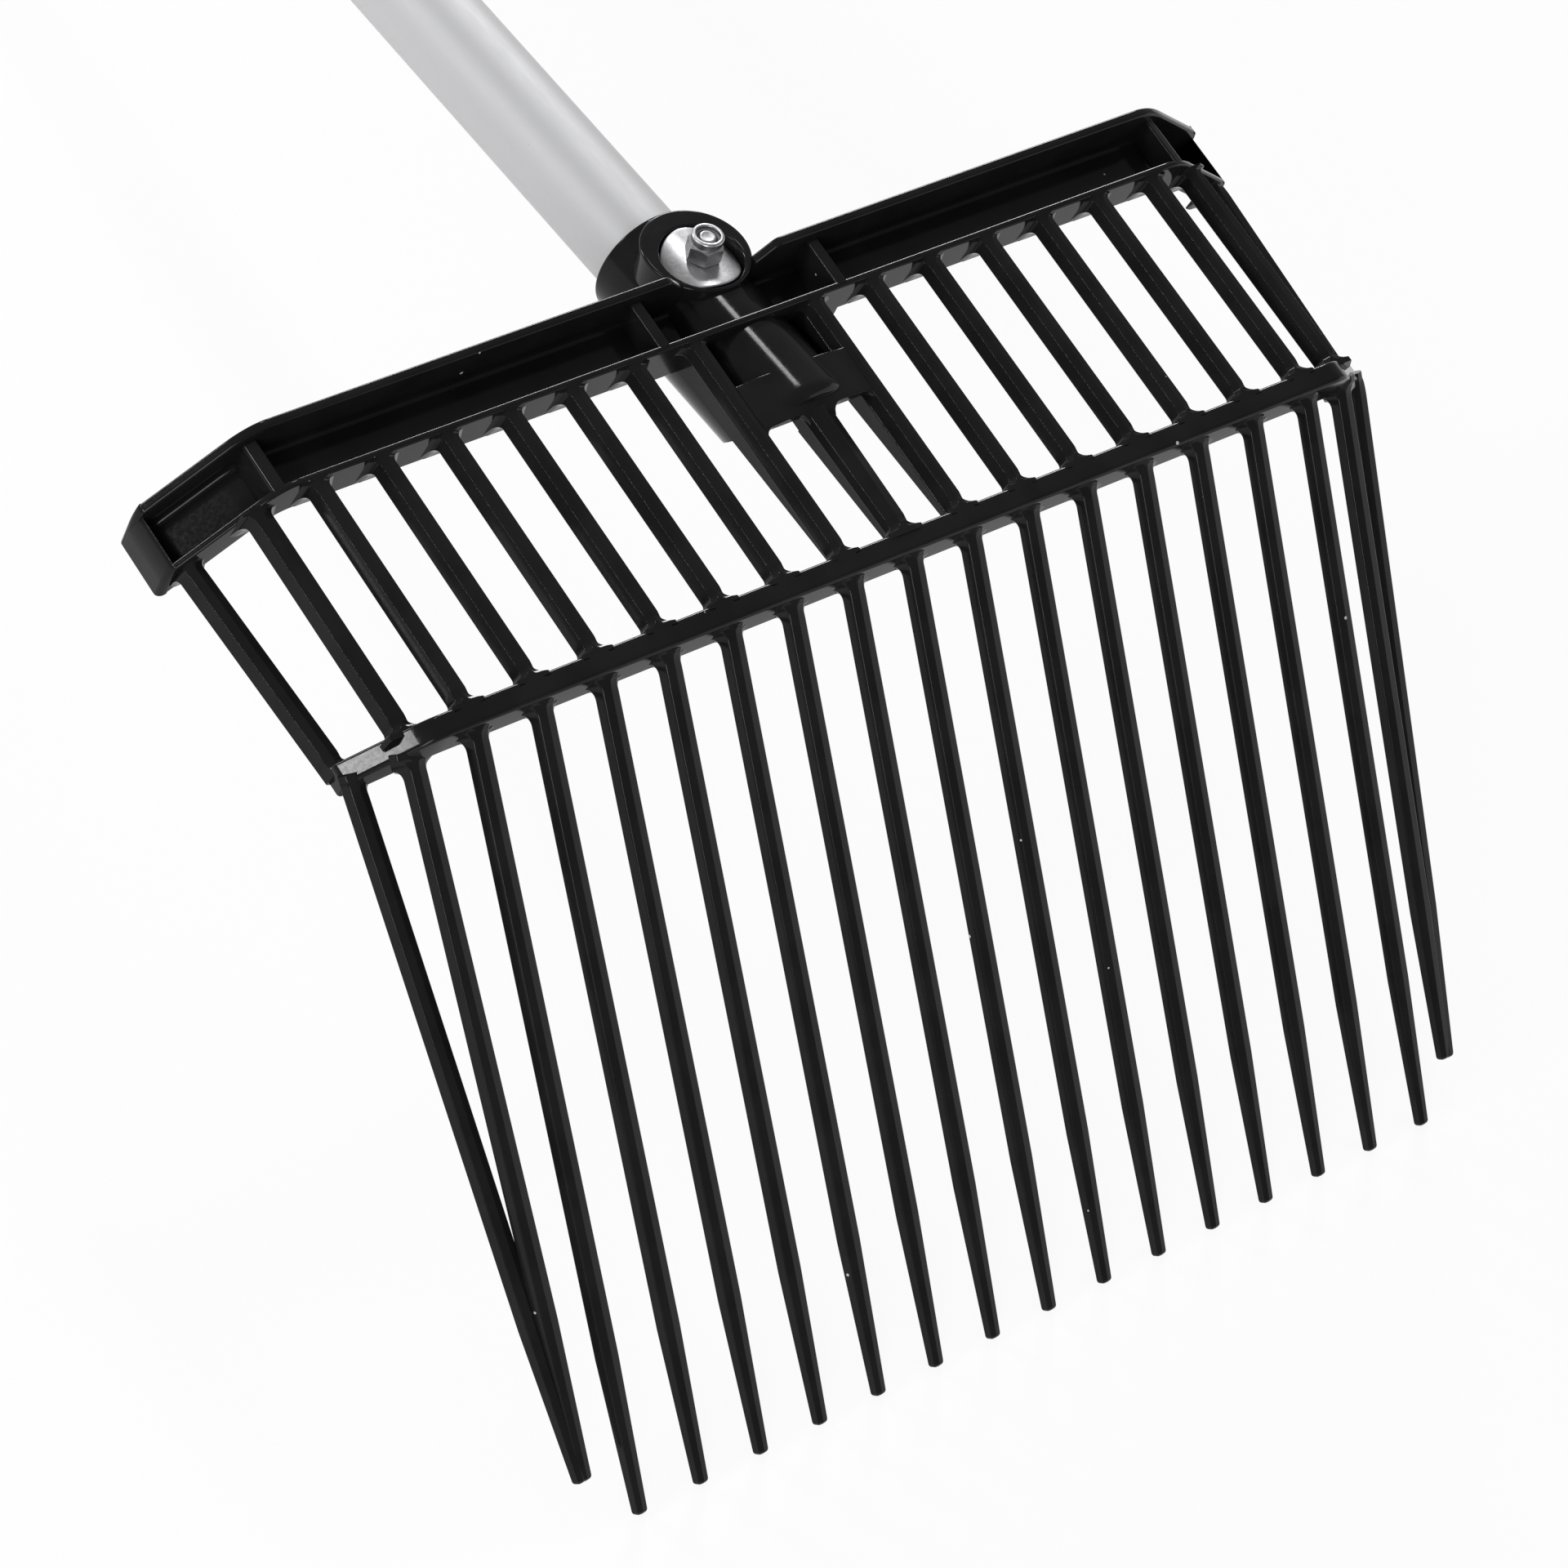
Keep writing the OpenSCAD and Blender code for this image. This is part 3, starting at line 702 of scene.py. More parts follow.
class SharedEffects:
    """Shader node groups that more than one finish uses."""

    _groups: dict[str, bpy.types.NodeTree] = {}
    _place: dict[str, str] = {"Place": "NodeSocketVector"}
    _noises: dict[str, tuple[float, float]] = {"Swell": (2.0, 0.5), "Grain": (3.0, 0.6)}

    @classmethod
    def _start(cls, name: str, inputs: list[str], outputs: list[str]) -> tuple[NodeSheet, Any, Any]:
        """Start a group that takes a place and named values.

        Args:
            name: Name of the group.
            inputs: Names of the values that it takes.
            outputs: Names of the values that it puts out.

        Returns:
            The sheet, the group's input node and its output node.
        """
        tree = bpy.data.node_groups.new(name, "ShaderNodeTree")
        kinds = cls._place | dict.fromkeys(inputs, "NodeSocketFloat")
        for label, kind in kinds.items():
            tree.interface.new_socket(name=label, in_out="INPUT", socket_type=kind)
        for label in outputs:
            tree.interface.new_socket(name=label, in_out="OUTPUT", socket_type="NodeSocketFloat")
        sheet = NodeSheet(tree)
        return sheet, sheet.add("NodeGroupInput"), sheet.add("NodeGroupOutput")

    @classmethod
    def dust(cls) -> bpy.types.NodeTree:
        """Sparse specks of dust: the cores of a few cells of a cell pattern.

        Returns:
            The group; it is written once.
        """
        if "dust" not in cls._groups:
            sheet, given, out = cls._start("settled dust", ["Spread", "Share", "Size"], ["Specks"])
            cells = sheet.add("ShaderNodeTexVoronoi")
            sheet.feed(cells, Vector=given.outputs["Place"], Scale=given.outputs["Spread"], Randomness=1.0)
            draw = sheet.add("ShaderNodeSeparateColor")
            sheet.feed(draw, Color=cells.outputs["Color"])
            chosen = sheet.math("LESS_THAN", draw.outputs[0], given.outputs["Share"])
            size = sheet.math("MULTIPLY", given.outputs["Size"], draw.outputs[1])
            core = sheet.math("LESS_THAN", cells.outputs["Distance"], size)
            sheet.into(out.inputs["Specks"], sheet.math("MULTIPLY", chosen, core))
            cls._groups["dust"] = sheet.tree
        return cls._groups["dust"]

    @classmethod
    def ripple(cls) -> bpy.types.NodeTree:
        """Slow swell and fine grain of a surface: two noises of different scale, detail and roughness.

        Returns:
            The group; it is written once.
        """
        if "ripple" not in cls._groups:
            sheet, given, out = cls._start("surface ripple", list(cls._noises), list(cls._noises))
            place = given.outputs["Place"]
            for label, (detail, rough) in cls._noises.items():
                noise = sheet.add("ShaderNodeTexNoise")
                sheet.feed(noise, Vector=place, Scale=given.outputs[label], Detail=detail, Roughness=rough)
                sheet.into(out.inputs[label], noise.outputs["Fac"])
            cls._groups["ripple"] = sheet.tree
        return cls._groups["ripple"]


@dataclass(frozen=True)
class Finish:
    """A surface finish with dust, ripple and blotches."""

    name: str
    colour: tuple[float, float, float]
    second_colour: tuple[float, float, float]
    metallic: float
    roughness: tuple[float, float]
    specular: float
    swell_scale: float
    grain_scale: float
    swell_height: float
    grain_height: float
    dust_share: float
    dust_colour: tuple[float, float, float] = (0.5, 0.5, 0.5)
    dust_spread: float = 260.0
    dust_size: float = 0.16
    stretch: tuple[float, float, float] = (1.0, 1.0, 1.0)
    lean: float = 0.0
    blotch_range: tuple[float, float] = (0.35, 0.65)
    grain_range: tuple[float, float] = (0.3, 0.7)
    speck_roughness: float = 0.8

    def material(self) -> bpy.types.Material:
        """Write the finish as a node material.

        Returns:
            The material; its pattern follows Object coordinates.
        """
        material = bpy.data.materials.new(self.name)
        material.use_nodes = True
        sheet = NodeSheet(material.node_tree)
        material.node_tree.nodes.clear()
        place = sheet.add("ShaderNodeTexCoord").outputs["Object"]
        mapping = sheet.add("ShaderNodeMapping")
        sheet.feed(mapping, Vector=place, Rotation=(self.lean, 0.0, 0.0), Scale=self.stretch)
        ripple = sheet.add("ShaderNodeGroup", node_tree=SharedEffects.ripple())
        sheet.feed(ripple, Place=mapping.outputs[0], Swell=self.swell_scale, Grain=self.grain_scale)
        dust = sheet.add("ShaderNodeGroup", node_tree=SharedEffects.dust())
        sheet.feed(dust, Place=place, Spread=self.dust_spread, Share=self.dust_share, Size=self.dust_size)
        specks = dust.outputs["Specks"]
        blotch = sheet.ranged(ripple.outputs["Swell"], *self.blotch_range, 0.0, 1.0)
        tone = sheet.mixed(blotch, (*self.colour, 1.0), (*self.second_colour, 1.0))
        tone = sheet.mixed(specks, tone, (*self.dust_colour, 1.0))
        rough = sheet.ranged(ripple.outputs["Grain"], *self.grain_range, *self.roughness)
        rough = sheet.math("MAXIMUM", rough, sheet.math("MULTIPLY", specks, self.speck_roughness))
        height = sheet.math(
            "ADD",
            sheet.math("MULTIPLY", ripple.outputs["Swell"], self.swell_height),
            sheet.math("MULTIPLY", ripple.outputs["Grain"], self.grain_height),
        )
        bump = sheet.add("ShaderNodeBump")
        sheet.feed(bump, Strength=1.0, Distance=MM, Height=height)
        shader = sheet.add("ShaderNodeBsdfPrincipled")
        sheet.feed(
            shader,
            Base_Color=tone,
            Roughness=rough,
            Metallic=self.metallic,
            Specular_IOR_Level=self.specular,
            Normal=bump.outputs[0],
        )
        sheet.feed(sheet.add("ShaderNodeOutputMaterial"), Surface=shader.outputs[0])
        return material


BLACK_PLASTIC = Finish(
    name="glossy black moulding",
    colour=(0.009, 0.009, 0.0095),
    second_colour=(0.012, 0.012, 0.0125),
    metallic=0.0,
    roughness=(0.09, 0.15),
    specular=0.13,
    swell_scale=60.0,
    grain_scale=900.0,
    swell_height=0.006,
    grain_height=0.0004,
    dust_share=0.03,
)
SATIN_TUBE = Finish(
    name="satin tube",
    colour=(0.54, 0.54, 0.55),
    second_colour=(0.51, 0.51, 0.52),
    metallic=0.25,
    roughness=(0.5, 0.58),
    specular=0.5,
    swell_scale=12.0,
    grain_scale=700.0,
    swell_height=0.0,
    grain_height=0.004,
    dust_share=0.004,
    dust_colour=(0.3, 0.3, 0.3),
    stretch=(1.0, 0.08, 1.0),
    lean=math.radians(7.0),
)
ZINC_PLATE = Finish(
    name="bright zinc plate",
    colour=(0.5, 0.5, 0.51),
    second_colour=(0.42, 0.42, 0.43),
    metallic=1.0,
    roughness=(0.3, 0.4),
    specular=0.5,
    swell_scale=160.0,
    grain_scale=1200.0,
    swell_height=0.03,
    grain_height=0.002,
    dust_share=0.02,
    dust_colour=(0.25, 0.25, 0.25),
)
NYLON = Finish(
    name="nylon insert",
    colour=(0.26, 0.26, 0.27),
    second_colour=(0.2, 0.2, 0.21),
    metallic=0.0,
    roughness=(0.4, 0.55),
    specular=0.4,
    swell_scale=300.0,
    grain_scale=2000.0,
    swell_height=0.02,
    grain_height=0.01,
    dust_share=0.02,
)


class Workshop:
    """Turns patches into pieces of the fork and keeps the finished materials."""

    def __init__(self) -> None:
        """Write each finish once."""
        self.materials = {
            Slot.PLASTIC: BLACK_PLASTIC.material(),
            Slot.TUBE: SATIN_TUBE.material(),
            Slot.ZINC: ZINC_PLATE.material(),
            Slot.NYLON: NYLON.material(),
        }

    def make(self, node: str, patch: Patch, slot: Slot) -> bpy.types.Object:
        """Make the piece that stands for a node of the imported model.

        Args:
            node: Name of the node.
            patch: Its surface, in the head's frame and in millimetres.
            slot: Its material slot.

        Returns:
            The finished object, at the origin and riding on the body.
        """
        mesh = bpy.data.meshes.new("shaped_" + node)
        mesh.from_pydata(laid_down(patch.points), [], patch.quads.tolist() + patch.caps)
        shape = bmesh.new()
        shape.from_mesh(mesh)
        bmesh.ops.remove_doubles(shape, verts=shape.verts, dist=MERGE_DISTANCE)
        bmesh.ops.recalc_face_normals(shape, faces=shape.faces)
        shape.to_mesh(mesh)
        shape.free()
        mesh.polygons.foreach_set("use_smooth", np.ones(len(mesh.polygons), bool))
        mesh.set_sharp_from_angle(angle=SHARP_ANGLE)
        mesh.materials.append(self.materials[slot])
        piece = bpy.data.objects.new("shaped_" + node, mesh)
        bpy.context.scene.collection.objects.link(piece)
        weighted = piece.modifiers.new("even shading", "WEIGHTED_NORMAL")
        weighted.keep_sharp = True
        weighted.weight = NORMAL_WEIGHT
        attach(piece, "root")
        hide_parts(node)
        LOG.info("%s: %d points, %d faces", piece.name, len(mesh.vertices), len(mesh.polygons))
        return piece


@dataclass(frozen=True)
class WaistedSection:
    """Section of bars and tines: a ridged back on sides that spread to a waist and draw in below it."""

    side_draft: float
    waist_share: float
    keel_share: float
    edge_radius: float
    under_radius: float
    ridge_radius: float
    waist_radius: float = 0.35

    def outline(self, half: float, depth: float, crown: float, edge: float = 0.0) -> Array:
        """Round the section's corners.

        The waist lies at its share of the depth, and on each side it is wider than the back by the draft
        times the waist's depth.

        Args:
            half: Half the width of the back.
            depth: Depth of the section.
            crown: Height of the ridge.
            edge: Height of the back's edges.

        Returns:
            Points (x, z) of the rounded outline.
        """
        waist, keel = self.waist_share * depth, self.keel_share * half
        wide = half + self.side_draft * waist
        right = [[keel, -depth], [wide, -waist], [half, edge]]
        left = [[-half, edge], [-wide, -waist]]
        corners = np.array([[-keel, -depth], *right, [0.0, crown], *left])
        under, side = self.under_radius, self.waist_radius
        radii = [under, under, side, self.edge_radius, self.ridge_radius, self.edge_radius, side]
        return rounded_outline(corners, np.array(radii))


@dataclass
class UpperBars:
    """The bars between the crossbar and the rear beam."""

    shape: WaistedSection = WaistedSection(0.42, 0.746, 0.8, edge_radius=0.25, under_radius=0.7, ridge_radius=1.2)
    half_width: float = 2.4
    depth: float = 4.9
    end_half_width: float = 2.7
    end_depth: float = 5.2
    haunch_reach: float = 3.5
    overlap: float = 0.4
    root_reach: float = 5.5
    root_lift: float = 0.9
    root_sink: float = 0.8
    foot_overlap: float = 1.6
    foot_reach: float = 5.0
    foot_valley: float = 2.4
    foot_lift: float = 0.5
    foot_sink: float = 0.55
    beside_half_width: float = 2.2
    beside_depth: float = 4.56
    middle_root: float = 3.9
    middle_foot: float = 3.3
    middle_fin_half: float = 3.5
    middle_depth: float = 3.4
    middle_crown: float = 0.9
    middle_rise: float = 1.6
    fin_radius: float = 0.6
    end_rows: int = 13
    shaft_rows: int = 9
    fin_rows: int = 14

    def back(self, k: int) -> tuple[float, float]:
        """Half the width of bar k's back, and its depth.

        Args:
            k: Number of the bar, counted from the middle.

        Returns:
            Both sizes, in millimetres.
        """
        if k == 0:
            return self.middle_foot, self.middle_depth
        if abs(k) == 1:
            return self.beside_half_width, self.beside_depth
        return (self.end_half_width, self.end_depth) if HEAD.turned_end(k) else (self.half_width, self.depth)

    def foot_profile(self, distance: Array) -> Array:
        """Height of the back's edges at distances from the crossbar: a valley that climbs to its top.

        Up to the valley the height runs evenly from the lift to the sink; from there it eases out to zero.

        Args:
            distance: Distances from the crossbar's upper face.

        Returns:
            Heights over the plain back.
        """
        near = self.foot_lift - (self.foot_lift + self.foot_sink) * distance / self.foot_valley
        share = np.clip((distance - self.foot_valley) / (self.foot_reach - self.foot_valley), 0.0, 1.0)
        far = -self.foot_sink * (1.0 - smooth(share))
        return np.where(distance < self.foot_valley, np.minimum(near, self.foot_lift), far)

    def patch(self, k: int) -> Patch:
        """Carry the waisted section along bar k.

        A ring at distance t from the beam is the section, widened on both sides by a concave corner towards
        either end. At the root its back steepens into a gable: the ridge rises and the edges sink in
        proportion to their distance from it, and its underside curves down along the beam's face. At the foot
        the edges follow a valley. The middle bar widens and its ridge rises evenly towards the web plate. A
        fin hangs under it and under each bar beside it.

        Args:
            k: Number of the bar, counted from the middle.

        Returns:
            The bar, with its ends a little inside the beam and the crossbar.
        """
        sign = -1.0 if k < 0 else 1.0
        reach = HEAD.reach(k)
        outermost, middle, beside = abs(k) == HEAD.side_count, k == 0, abs(k) == 1
        root_x = HEAD.last_straight + HEAD.outer_bar_gap if outermost else reach
        root = np.array([sign * root_x, HEAD.beam_front, -float(HEAD.beam_fall(root_x))])
        root[2] -= HEAD.outer_bar_drop if outermost else 0.0
        root[1] = WEB_FRONT if middle else root[1]
        foot = np.array([sign * reach, HEAD.crossbar_rear + float(HEAD.crossbar_setback(reach)), root[2]])
        length = float(np.linalg.norm(foot - root))
        along = (foot - root) / length
        across, upright = np.array([-along[1], along[0], 0.0]), np.array([0.0, 0.0, 1.0])
        half, deep = self.back(k)
        side, height = self.shape.outline(half, deep, self.middle_crown if middle else HEAD.crown).T
        rise = np.linspace(0.0, self.root_reach, self.end_rows)
        shaft = np.linspace(self.root_reach, length - self.root_reach, self.shaft_rows)[1:-1]
        t = np.concatenate([[-self.overlap], rise, shaft, length - rise[::-1], [length + self.foot_overlap]])
        to_root = np.clip(1.0 - t / length, 0.0, 1.0)[:, None]
        flare = concave_corner(length - t, HEAD.gap_fillet)
        flare = flare + (0.0 if middle else concave_corner(t, HEAD.gap_fillet))
        spread = np.sign(side) * flare[:, None]
        spread = np.where(side * sign > 0.0, 0.0, spread) if outermost else spread
        gain = (self.middle_root - half) * (1.0 - t / length) if middle else 0.0 * t
        x = side * (1.0 + gain[:, None] / half) + spread
        off_ridge = np.minimum(np.abs(side) / half, 1.0)
        at_root = concave_corner(t, self.root_reach)[:, None] / self.root_reach
        gable = at_root * (self.root_lift - (self.root_lift + self.root_sink) * off_ridge)
        gable = self.middle_rise * to_root * (1.0 - off_ridge) if middle else gable
        gable = gable + off_ridge * self.foot_profile(length - t)[:, None]
        z = height + np.where(height > -deep / 2.0, gable, 0.0)
        haunch = concave_corner(t, self.haunch_reach) / self.haunch_reach * (-HEAD.beam_bottom - deep - self.overlap)
        z = np.where(z < -deep / 2.0, z - (0.0 if middle or beside else haunch[:, None]), z)
        patches = [skin(root + t[:, None, None] * along + x[..., None] * across + z[..., None] * upright)]
        hang = self.shape.waist_share * deep
        if beside:
            place, outer = k * HEAD.pitch, HEAD.bar_width / 2.0
            inner = outer + HEAD.fin_thickening
            left, right = (inner, outer) if k > 0 else (outer, inner)
            patches.append(self.fin(place - left, place + right, HEAD.beam_front, hang - self.overlap))
        if middle:
            patches.append(self.fin(-self.middle_fin_half, self.middle_fin_half, WEB_FRONT, hang))
        return joined(patches)

    def fin(self, left: float, right: float, rear: float, depth: float) -> Patch:
        """Hang a fin under a bar.

        A ring at each place along the bar is an upright strip with rounded upper edges, whose lower edge
        follows the fin's height.

        Args:
            left: Place of the fin's left face.
            right: Place of its right face.
            rear: End of the fin at its bar's root.
            depth: Depth of its upper edge under the bar's back.

        Returns:
            The fin, a little inside the crossbar and what is behind it.
        """
        y = np.linspace(HEAD.crossbar_rear - self.overlap, rear + self.overlap, self.fin_rows)[:, None]
        turn = quarter_turn(ARC_STEPS + 1)
        step, rise = self.fin_radius * (1.0 - np.cos(turn)), self.fin_radius * (1.0 - np.sin(turn))
        x = np.concatenate([[left, right], right - step, left + step[::-1]])
        high = -depth - np.concatenate([rise, rise[::-1]]) + 0.0 * y
        low = -HEAD.bar_depth - HEAD.fin_height(y)
        return skin(grid(x, y, np.concatenate([low, low, high], 1)))

    def build(self, shop: Workshop) -> None:
        """Make all upper bars."""
        for i in range(1, 2 * HEAD.side_count + 2):
            shop.make(f"upper_bar_{i:02d}", self.patch(i - HEAD.side_count - 1), Slot.PLASTIC)


@dataclass
class LowerTines:
    """The tines below the crossbar."""

    shape: WaistedSection = WaistedSection(0.4, 0.645, 0.75, edge_radius=0.8, under_radius=0.8, ridge_radius=0.5)
    crown: float = 0.4
    half_width: float = 2.6
    depth: float = 4.4
    tip_radius: float = 1.55
    root_overlap: float = 2.4
    root_reach: float = 5.0
    root_sink: float = 1.0
    flare_span: float = 2.2
    flare_rows: int = 18
    shaft_rows: int = 8
    dome_rows: int = 6

    def patch(self, k: int) -> Patch:
        """Carry the waisted section along tine k to its rounded tip.

        The section narrows evenly over the taper. Near the crossbar each point moves outwards by a concave
        corner, measured from the crossbar's face, and the edges of the back sink. Over the last bit the
        section closes like a dome.

        Args:
            k: Number of the tine, counted from the middle.

        Returns:
            The tine, with its root a little inside the crossbar.
        """
        root, tip = HEAD.tine_root(k), HEAD.tine_tip(k)
        length = float(np.linalg.norm(tip - root))
        along = (tip - root) / length
        across = np.array([-along[1], along[0], 0.0])
        across = across / np.linalg.norm(across)
        out = np.cross(across, -along)
        side, height = self.shape.outline(self.half_width, self.depth, HEAD.crown, HEAD.crown - self.crown).T
        end, dome = self.tip_radius, quarter_turn(self.dome_rows)[1:]
        flare_end, taper_start = self.flare_span * HEAD.gap_fillet, length - HEAD.taper_length
        s = np.concatenate(
            [
                np.linspace(-self.root_overlap, flare_end, self.flare_rows),
                np.linspace(flare_end, taper_start, self.shaft_rows)[1:],
                np.linspace(taper_start, length - end, self.shaft_rows)[1:],
                length - end + end * np.sin(dome),
            ]
        )
        inset = end * (1.0 - np.cos(np.concatenate([np.zeros(len(s) - len(dome)), dome])))
        taper = np.clip((s - length + HEAD.taper_length) / (HEAD.taper_length - end), 0.0, 1.0)
        wide = 1.0 + (HEAD.tip_width / HEAD.tine_width - 1.0) * taper
        thick = 1.0 + (HEAD.tip_depth / HEAD.tine_depth - 1.0) * taper
        drop = (HEAD.tine_depth - HEAD.tip_depth) * HEAD.tip_back_share * taper
        x = side * wide[:, None] * (1.0 - inset / (HEAD.tip_width / 2.0))[:, None]
        middle = -HEAD.tine_depth / 2.0
        z = middle + (height - middle) * (1.0 - inset / (HEAD.tip_depth / 2.0))[:, None]
        z = z * thick[:, None] - drop[:, None]
        rings = root + s[:, None, None] * along + x[..., None] * across + z[..., None] * out
        away = HEAD.crossbar_front + float(HEAD.crossbar_setback(HEAD.reach(k))) - rings[..., 1]
        flare = concave_corner(away, HEAD.gap_fillet) * np.sign(side)
        if abs(k) == HEAD.side_count:
            flare = np.where(flare * k > 0.0, 0.0, flare)
        sink = concave_corner(away, self.root_reach) / self.root_reach * self.root_sink
        sink = np.where(height > -self.depth / 2.0, sink * np.abs(side) / (HEAD.tine_width / 2.0), 0.0)
        return skin(rings + flare[..., None] * across - sink[..., None] * out)

    def build(self, shop: Workshop) -> None:
        """Make all lower tines."""
        for i in range(1, 2 * HEAD.side_count + 2):
            shop.make(f"tine_{i:02d}", self.patch(i - HEAD.side_count - 1), Slot.PLASTIC)


@dataclass
class Crossbar:
    """The bar at the bend of the head."""

    front_radius: float = 1.4
    rear_radius: float = 1.2
    under_radius: float = 0.8
    end_radius: float = 0.9
    middle_rows: int = 24
    bend_rows: int = 13
    end_rows: int = 6

    def build(self, shop: Workshop) -> None:
        """Carry the section across the head.

        A ring at place x is the section in its upright plane, lowered by the fall and moved by the set-back of
        the turned ends, and less deep towards the ends.

        Args:
            shop: Maker of the pieces.
        """
        front, rear, depth = HEAD.crossbar_front, HEAD.crossbar_rear, HEAD.crossbar_depth
        corners = np.array([[front, -depth], [rear, -depth], [rear, 0.0], [front, 0.0]])
        radii = np.array([self.under_radius, self.under_radius, self.rear_radius, self.front_radius])
        along, height = rounded_outline(corners, radii).T
        bend, ease, end = HEAD.crossbar_bend_x, HEAD.crossbar_bend_half, HEAD.crossbar_end_x
        close = end - self.end_radius * (1.0 - np.sin(quarter_turn(self.end_rows)))
        half = np.concatenate(
            [
                np.linspace(0.0, bend - ease, self.middle_rows),
                np.linspace(bend - ease, bend + ease, self.bend_rows)[1:],
                np.linspace(bend + ease, close[0], self.end_rows)[1:-1],
                close,
            ]
        )
        x = mirrored(half)[:, None]
        reach = np.abs(x)
        past = np.clip(reach - end + self.end_radius, 0.0, self.end_radius)
        inset = self.end_radius - np.sqrt(np.maximum(self.end_radius**2 - past**2, 0.0))
        mid_y, mid_z = (front + rear) / 2.0, -depth / 2.0
        y = mid_y + (along - mid_y) * (1.0 - inset / (HEAD.crossbar_width / 2.0))
        z = height * (HEAD.crossbar_deep(reach) / depth)
        z = mid_z + (z - mid_z) * (1.0 + inset / mid_z)
        y = y + HEAD.crossbar_setback(reach)
        z = z + HEAD.crossbar_rise - HEAD.crossbar_fall(reach)
        shop.make("crossbar", skin(grid(x, y, z)), Slot.PLASTIC)


@dataclass
class RearBeam:
    """The channel along the rear of the head, in two halves."""

    edge_radius: float = 0.9
    inner_radius: float = 1.1
    rear_floor_radius: float = 1.8
    front_floor_radius: float = 1.0
    rib_radius: float = 0.8
    crisp_radius: float = 0.35
    cap_depth: float = 6.5
    cap_radius: float = 2.3
    least_flat: float = 0.05
    wall_overlap: float = 0.8
    rib_inset: float = 0.2
    wall_rows: int = 9
    middle_rows: int = 10
    bend_rows: int = 15
    end_rows: int = 5

    def section(self, low: float) -> Array:
        """Outline of the channel in the upright plane along the head.

        Args:
            low: Height of the channel's underside.

        Returns:
            Points (y, z) of the rounded outline.
        """
        front, rear = HEAD.beam_front, HEAD.beam_rear
        front_inner, rear_inner = front + HEAD.beam_wall, rear - HEAD.rear_wall
        floor, high = low + HEAD.beam_floor, HEAD.beam_rise
        rear_high = high + HEAD.rear_wall_rise
        outside = [[front, low], [rear, low], [rear, rear_high], [rear_inner, rear_high]]
        inside = [[rear_inner, floor], [front_inner, floor], [front_inner, high], [front, high]]
        edge, inner = self.edge_radius, self.inner_radius
        radii = [edge, edge, edge, inner, self.rear_floor_radius, self.front_floor_radius, inner, edge]
        return rounded_outline(np.array(outside + inside), np.array(radii))

    def end_wall(self, low_y: float, high_y: float, top: float) -> Patch:
        """Close the turned end by a wall with a rolled outer side.

        In the wall's front view its upper outer corner is a quarter of a long ellipse. The view is carried
        along the head, and near both ends its outer side draws in along a quarter circle, which rounds the
        corners of the plan.

        Args:
            low_y: Place of the wall's front along the head.
            high_y: Place of its rear.
            top: Height of its top.

        Returns:
            The wall on the right side, before the fall of the turned end.
        """
        end, thick, low = HEAD.beam_end_x, HEAD.beam_wall, HEAD.beam_bottom
        inner, crisp = end - thick, self.crisp_radius
        turn = quarter_turn(self.wall_rows)
        fall, step = 1.0 - np.sin(turn), 1.0 - np.cos(turn)
        view_x = np.concatenate([[inner, end], end - (thick - crisp) * step, inner + crisp * fall[1:]])
        view_z = np.concatenate([[low, low], top - self.cap_depth * fall, top - crisp * step[1:]])
        radius = min(self.cap_radius, (high_y - low_y) / 2.0 - self.least_flat)
        y = np.concatenate([low_y + radius * step, high_y - radius * step[::-1]])
        inset = radius * np.concatenate([fall, fall[::-1]])
        x = inner + (view_x - inner) * (1.0 - inset / thick)[:, None]
        return skin(grid(x, y[:, None], view_z))

    def sheared(self, patch: Patch, side: Side) -> Patch:
        """Lower a patch of the right side along the beam's turned end and put it on its side.

        Args:
            patch: The patch, on the right side and not lowered.
            side: Side on which it belongs.

        Returns:
            The placed patch.
        """
        points = patch.points.copy()
        points[:, 2] -= HEAD.beam_fall(points[:, 0])
        points[:, 0] *= side.value
        return patch.moved(points)

    def half(self, side: Side) -> Patch:
        """Build one half: the channel, its end walls and the rib at its bend.

        The channel's section is carried across the head, the rib is a rounded slab, and all of it is lowered
        along the turned end.

        Args:
            side: Side of the head.

        Returns:
            The half beam.
        """
        along, height = self.section(HEAD.beam_bottom).T
        bend, ease, end = HEAD.beam_bend_x, HEAD.beam_bend_half, HEAD.beam_end_x
        front, rear, rise = HEAD.beam_front, HEAD.beam_rear, HEAD.beam_rise
        x = np.concatenate(
            [
                np.linspace(HANDLE.block_half_width, bend - ease, self.middle_rows),
                np.linspace(bend - ease, bend + ease, self.bend_rows)[1:],
                np.linspace(bend + ease, end - self.wall_overlap * HEAD.beam_wall, self.end_rows)[1:],
            ]
        )
        thick, inset = HEAD.rib_thickness / 2.0, self.rib_inset
        rib = rounded_box(
            [bend - thick, front + inset, HEAD.beam_bottom + inset], [bend + thick, rear - inset, rise], self.rib_radius
        )
        cap = self.end_wall(front, rear, rise)
        post = self.end_wall(rear - HEAD.rear_wall, rear, rise + HEAD.rear_wall_rise)
        channel = skin(grid(x[:, None], along, height))
        return joined([self.sheared(p, side) for p in (channel, cap, post, rib)])

    def build(self, shop: Workshop) -> None:
        """Make both halves."""
        shop.make("rear_beam_left", self.half(Side.LEFT), Slot.PLASTIC)
        shop.make("rear_beam_right", self.half(Side.RIGHT), Slot.PLASTIC)


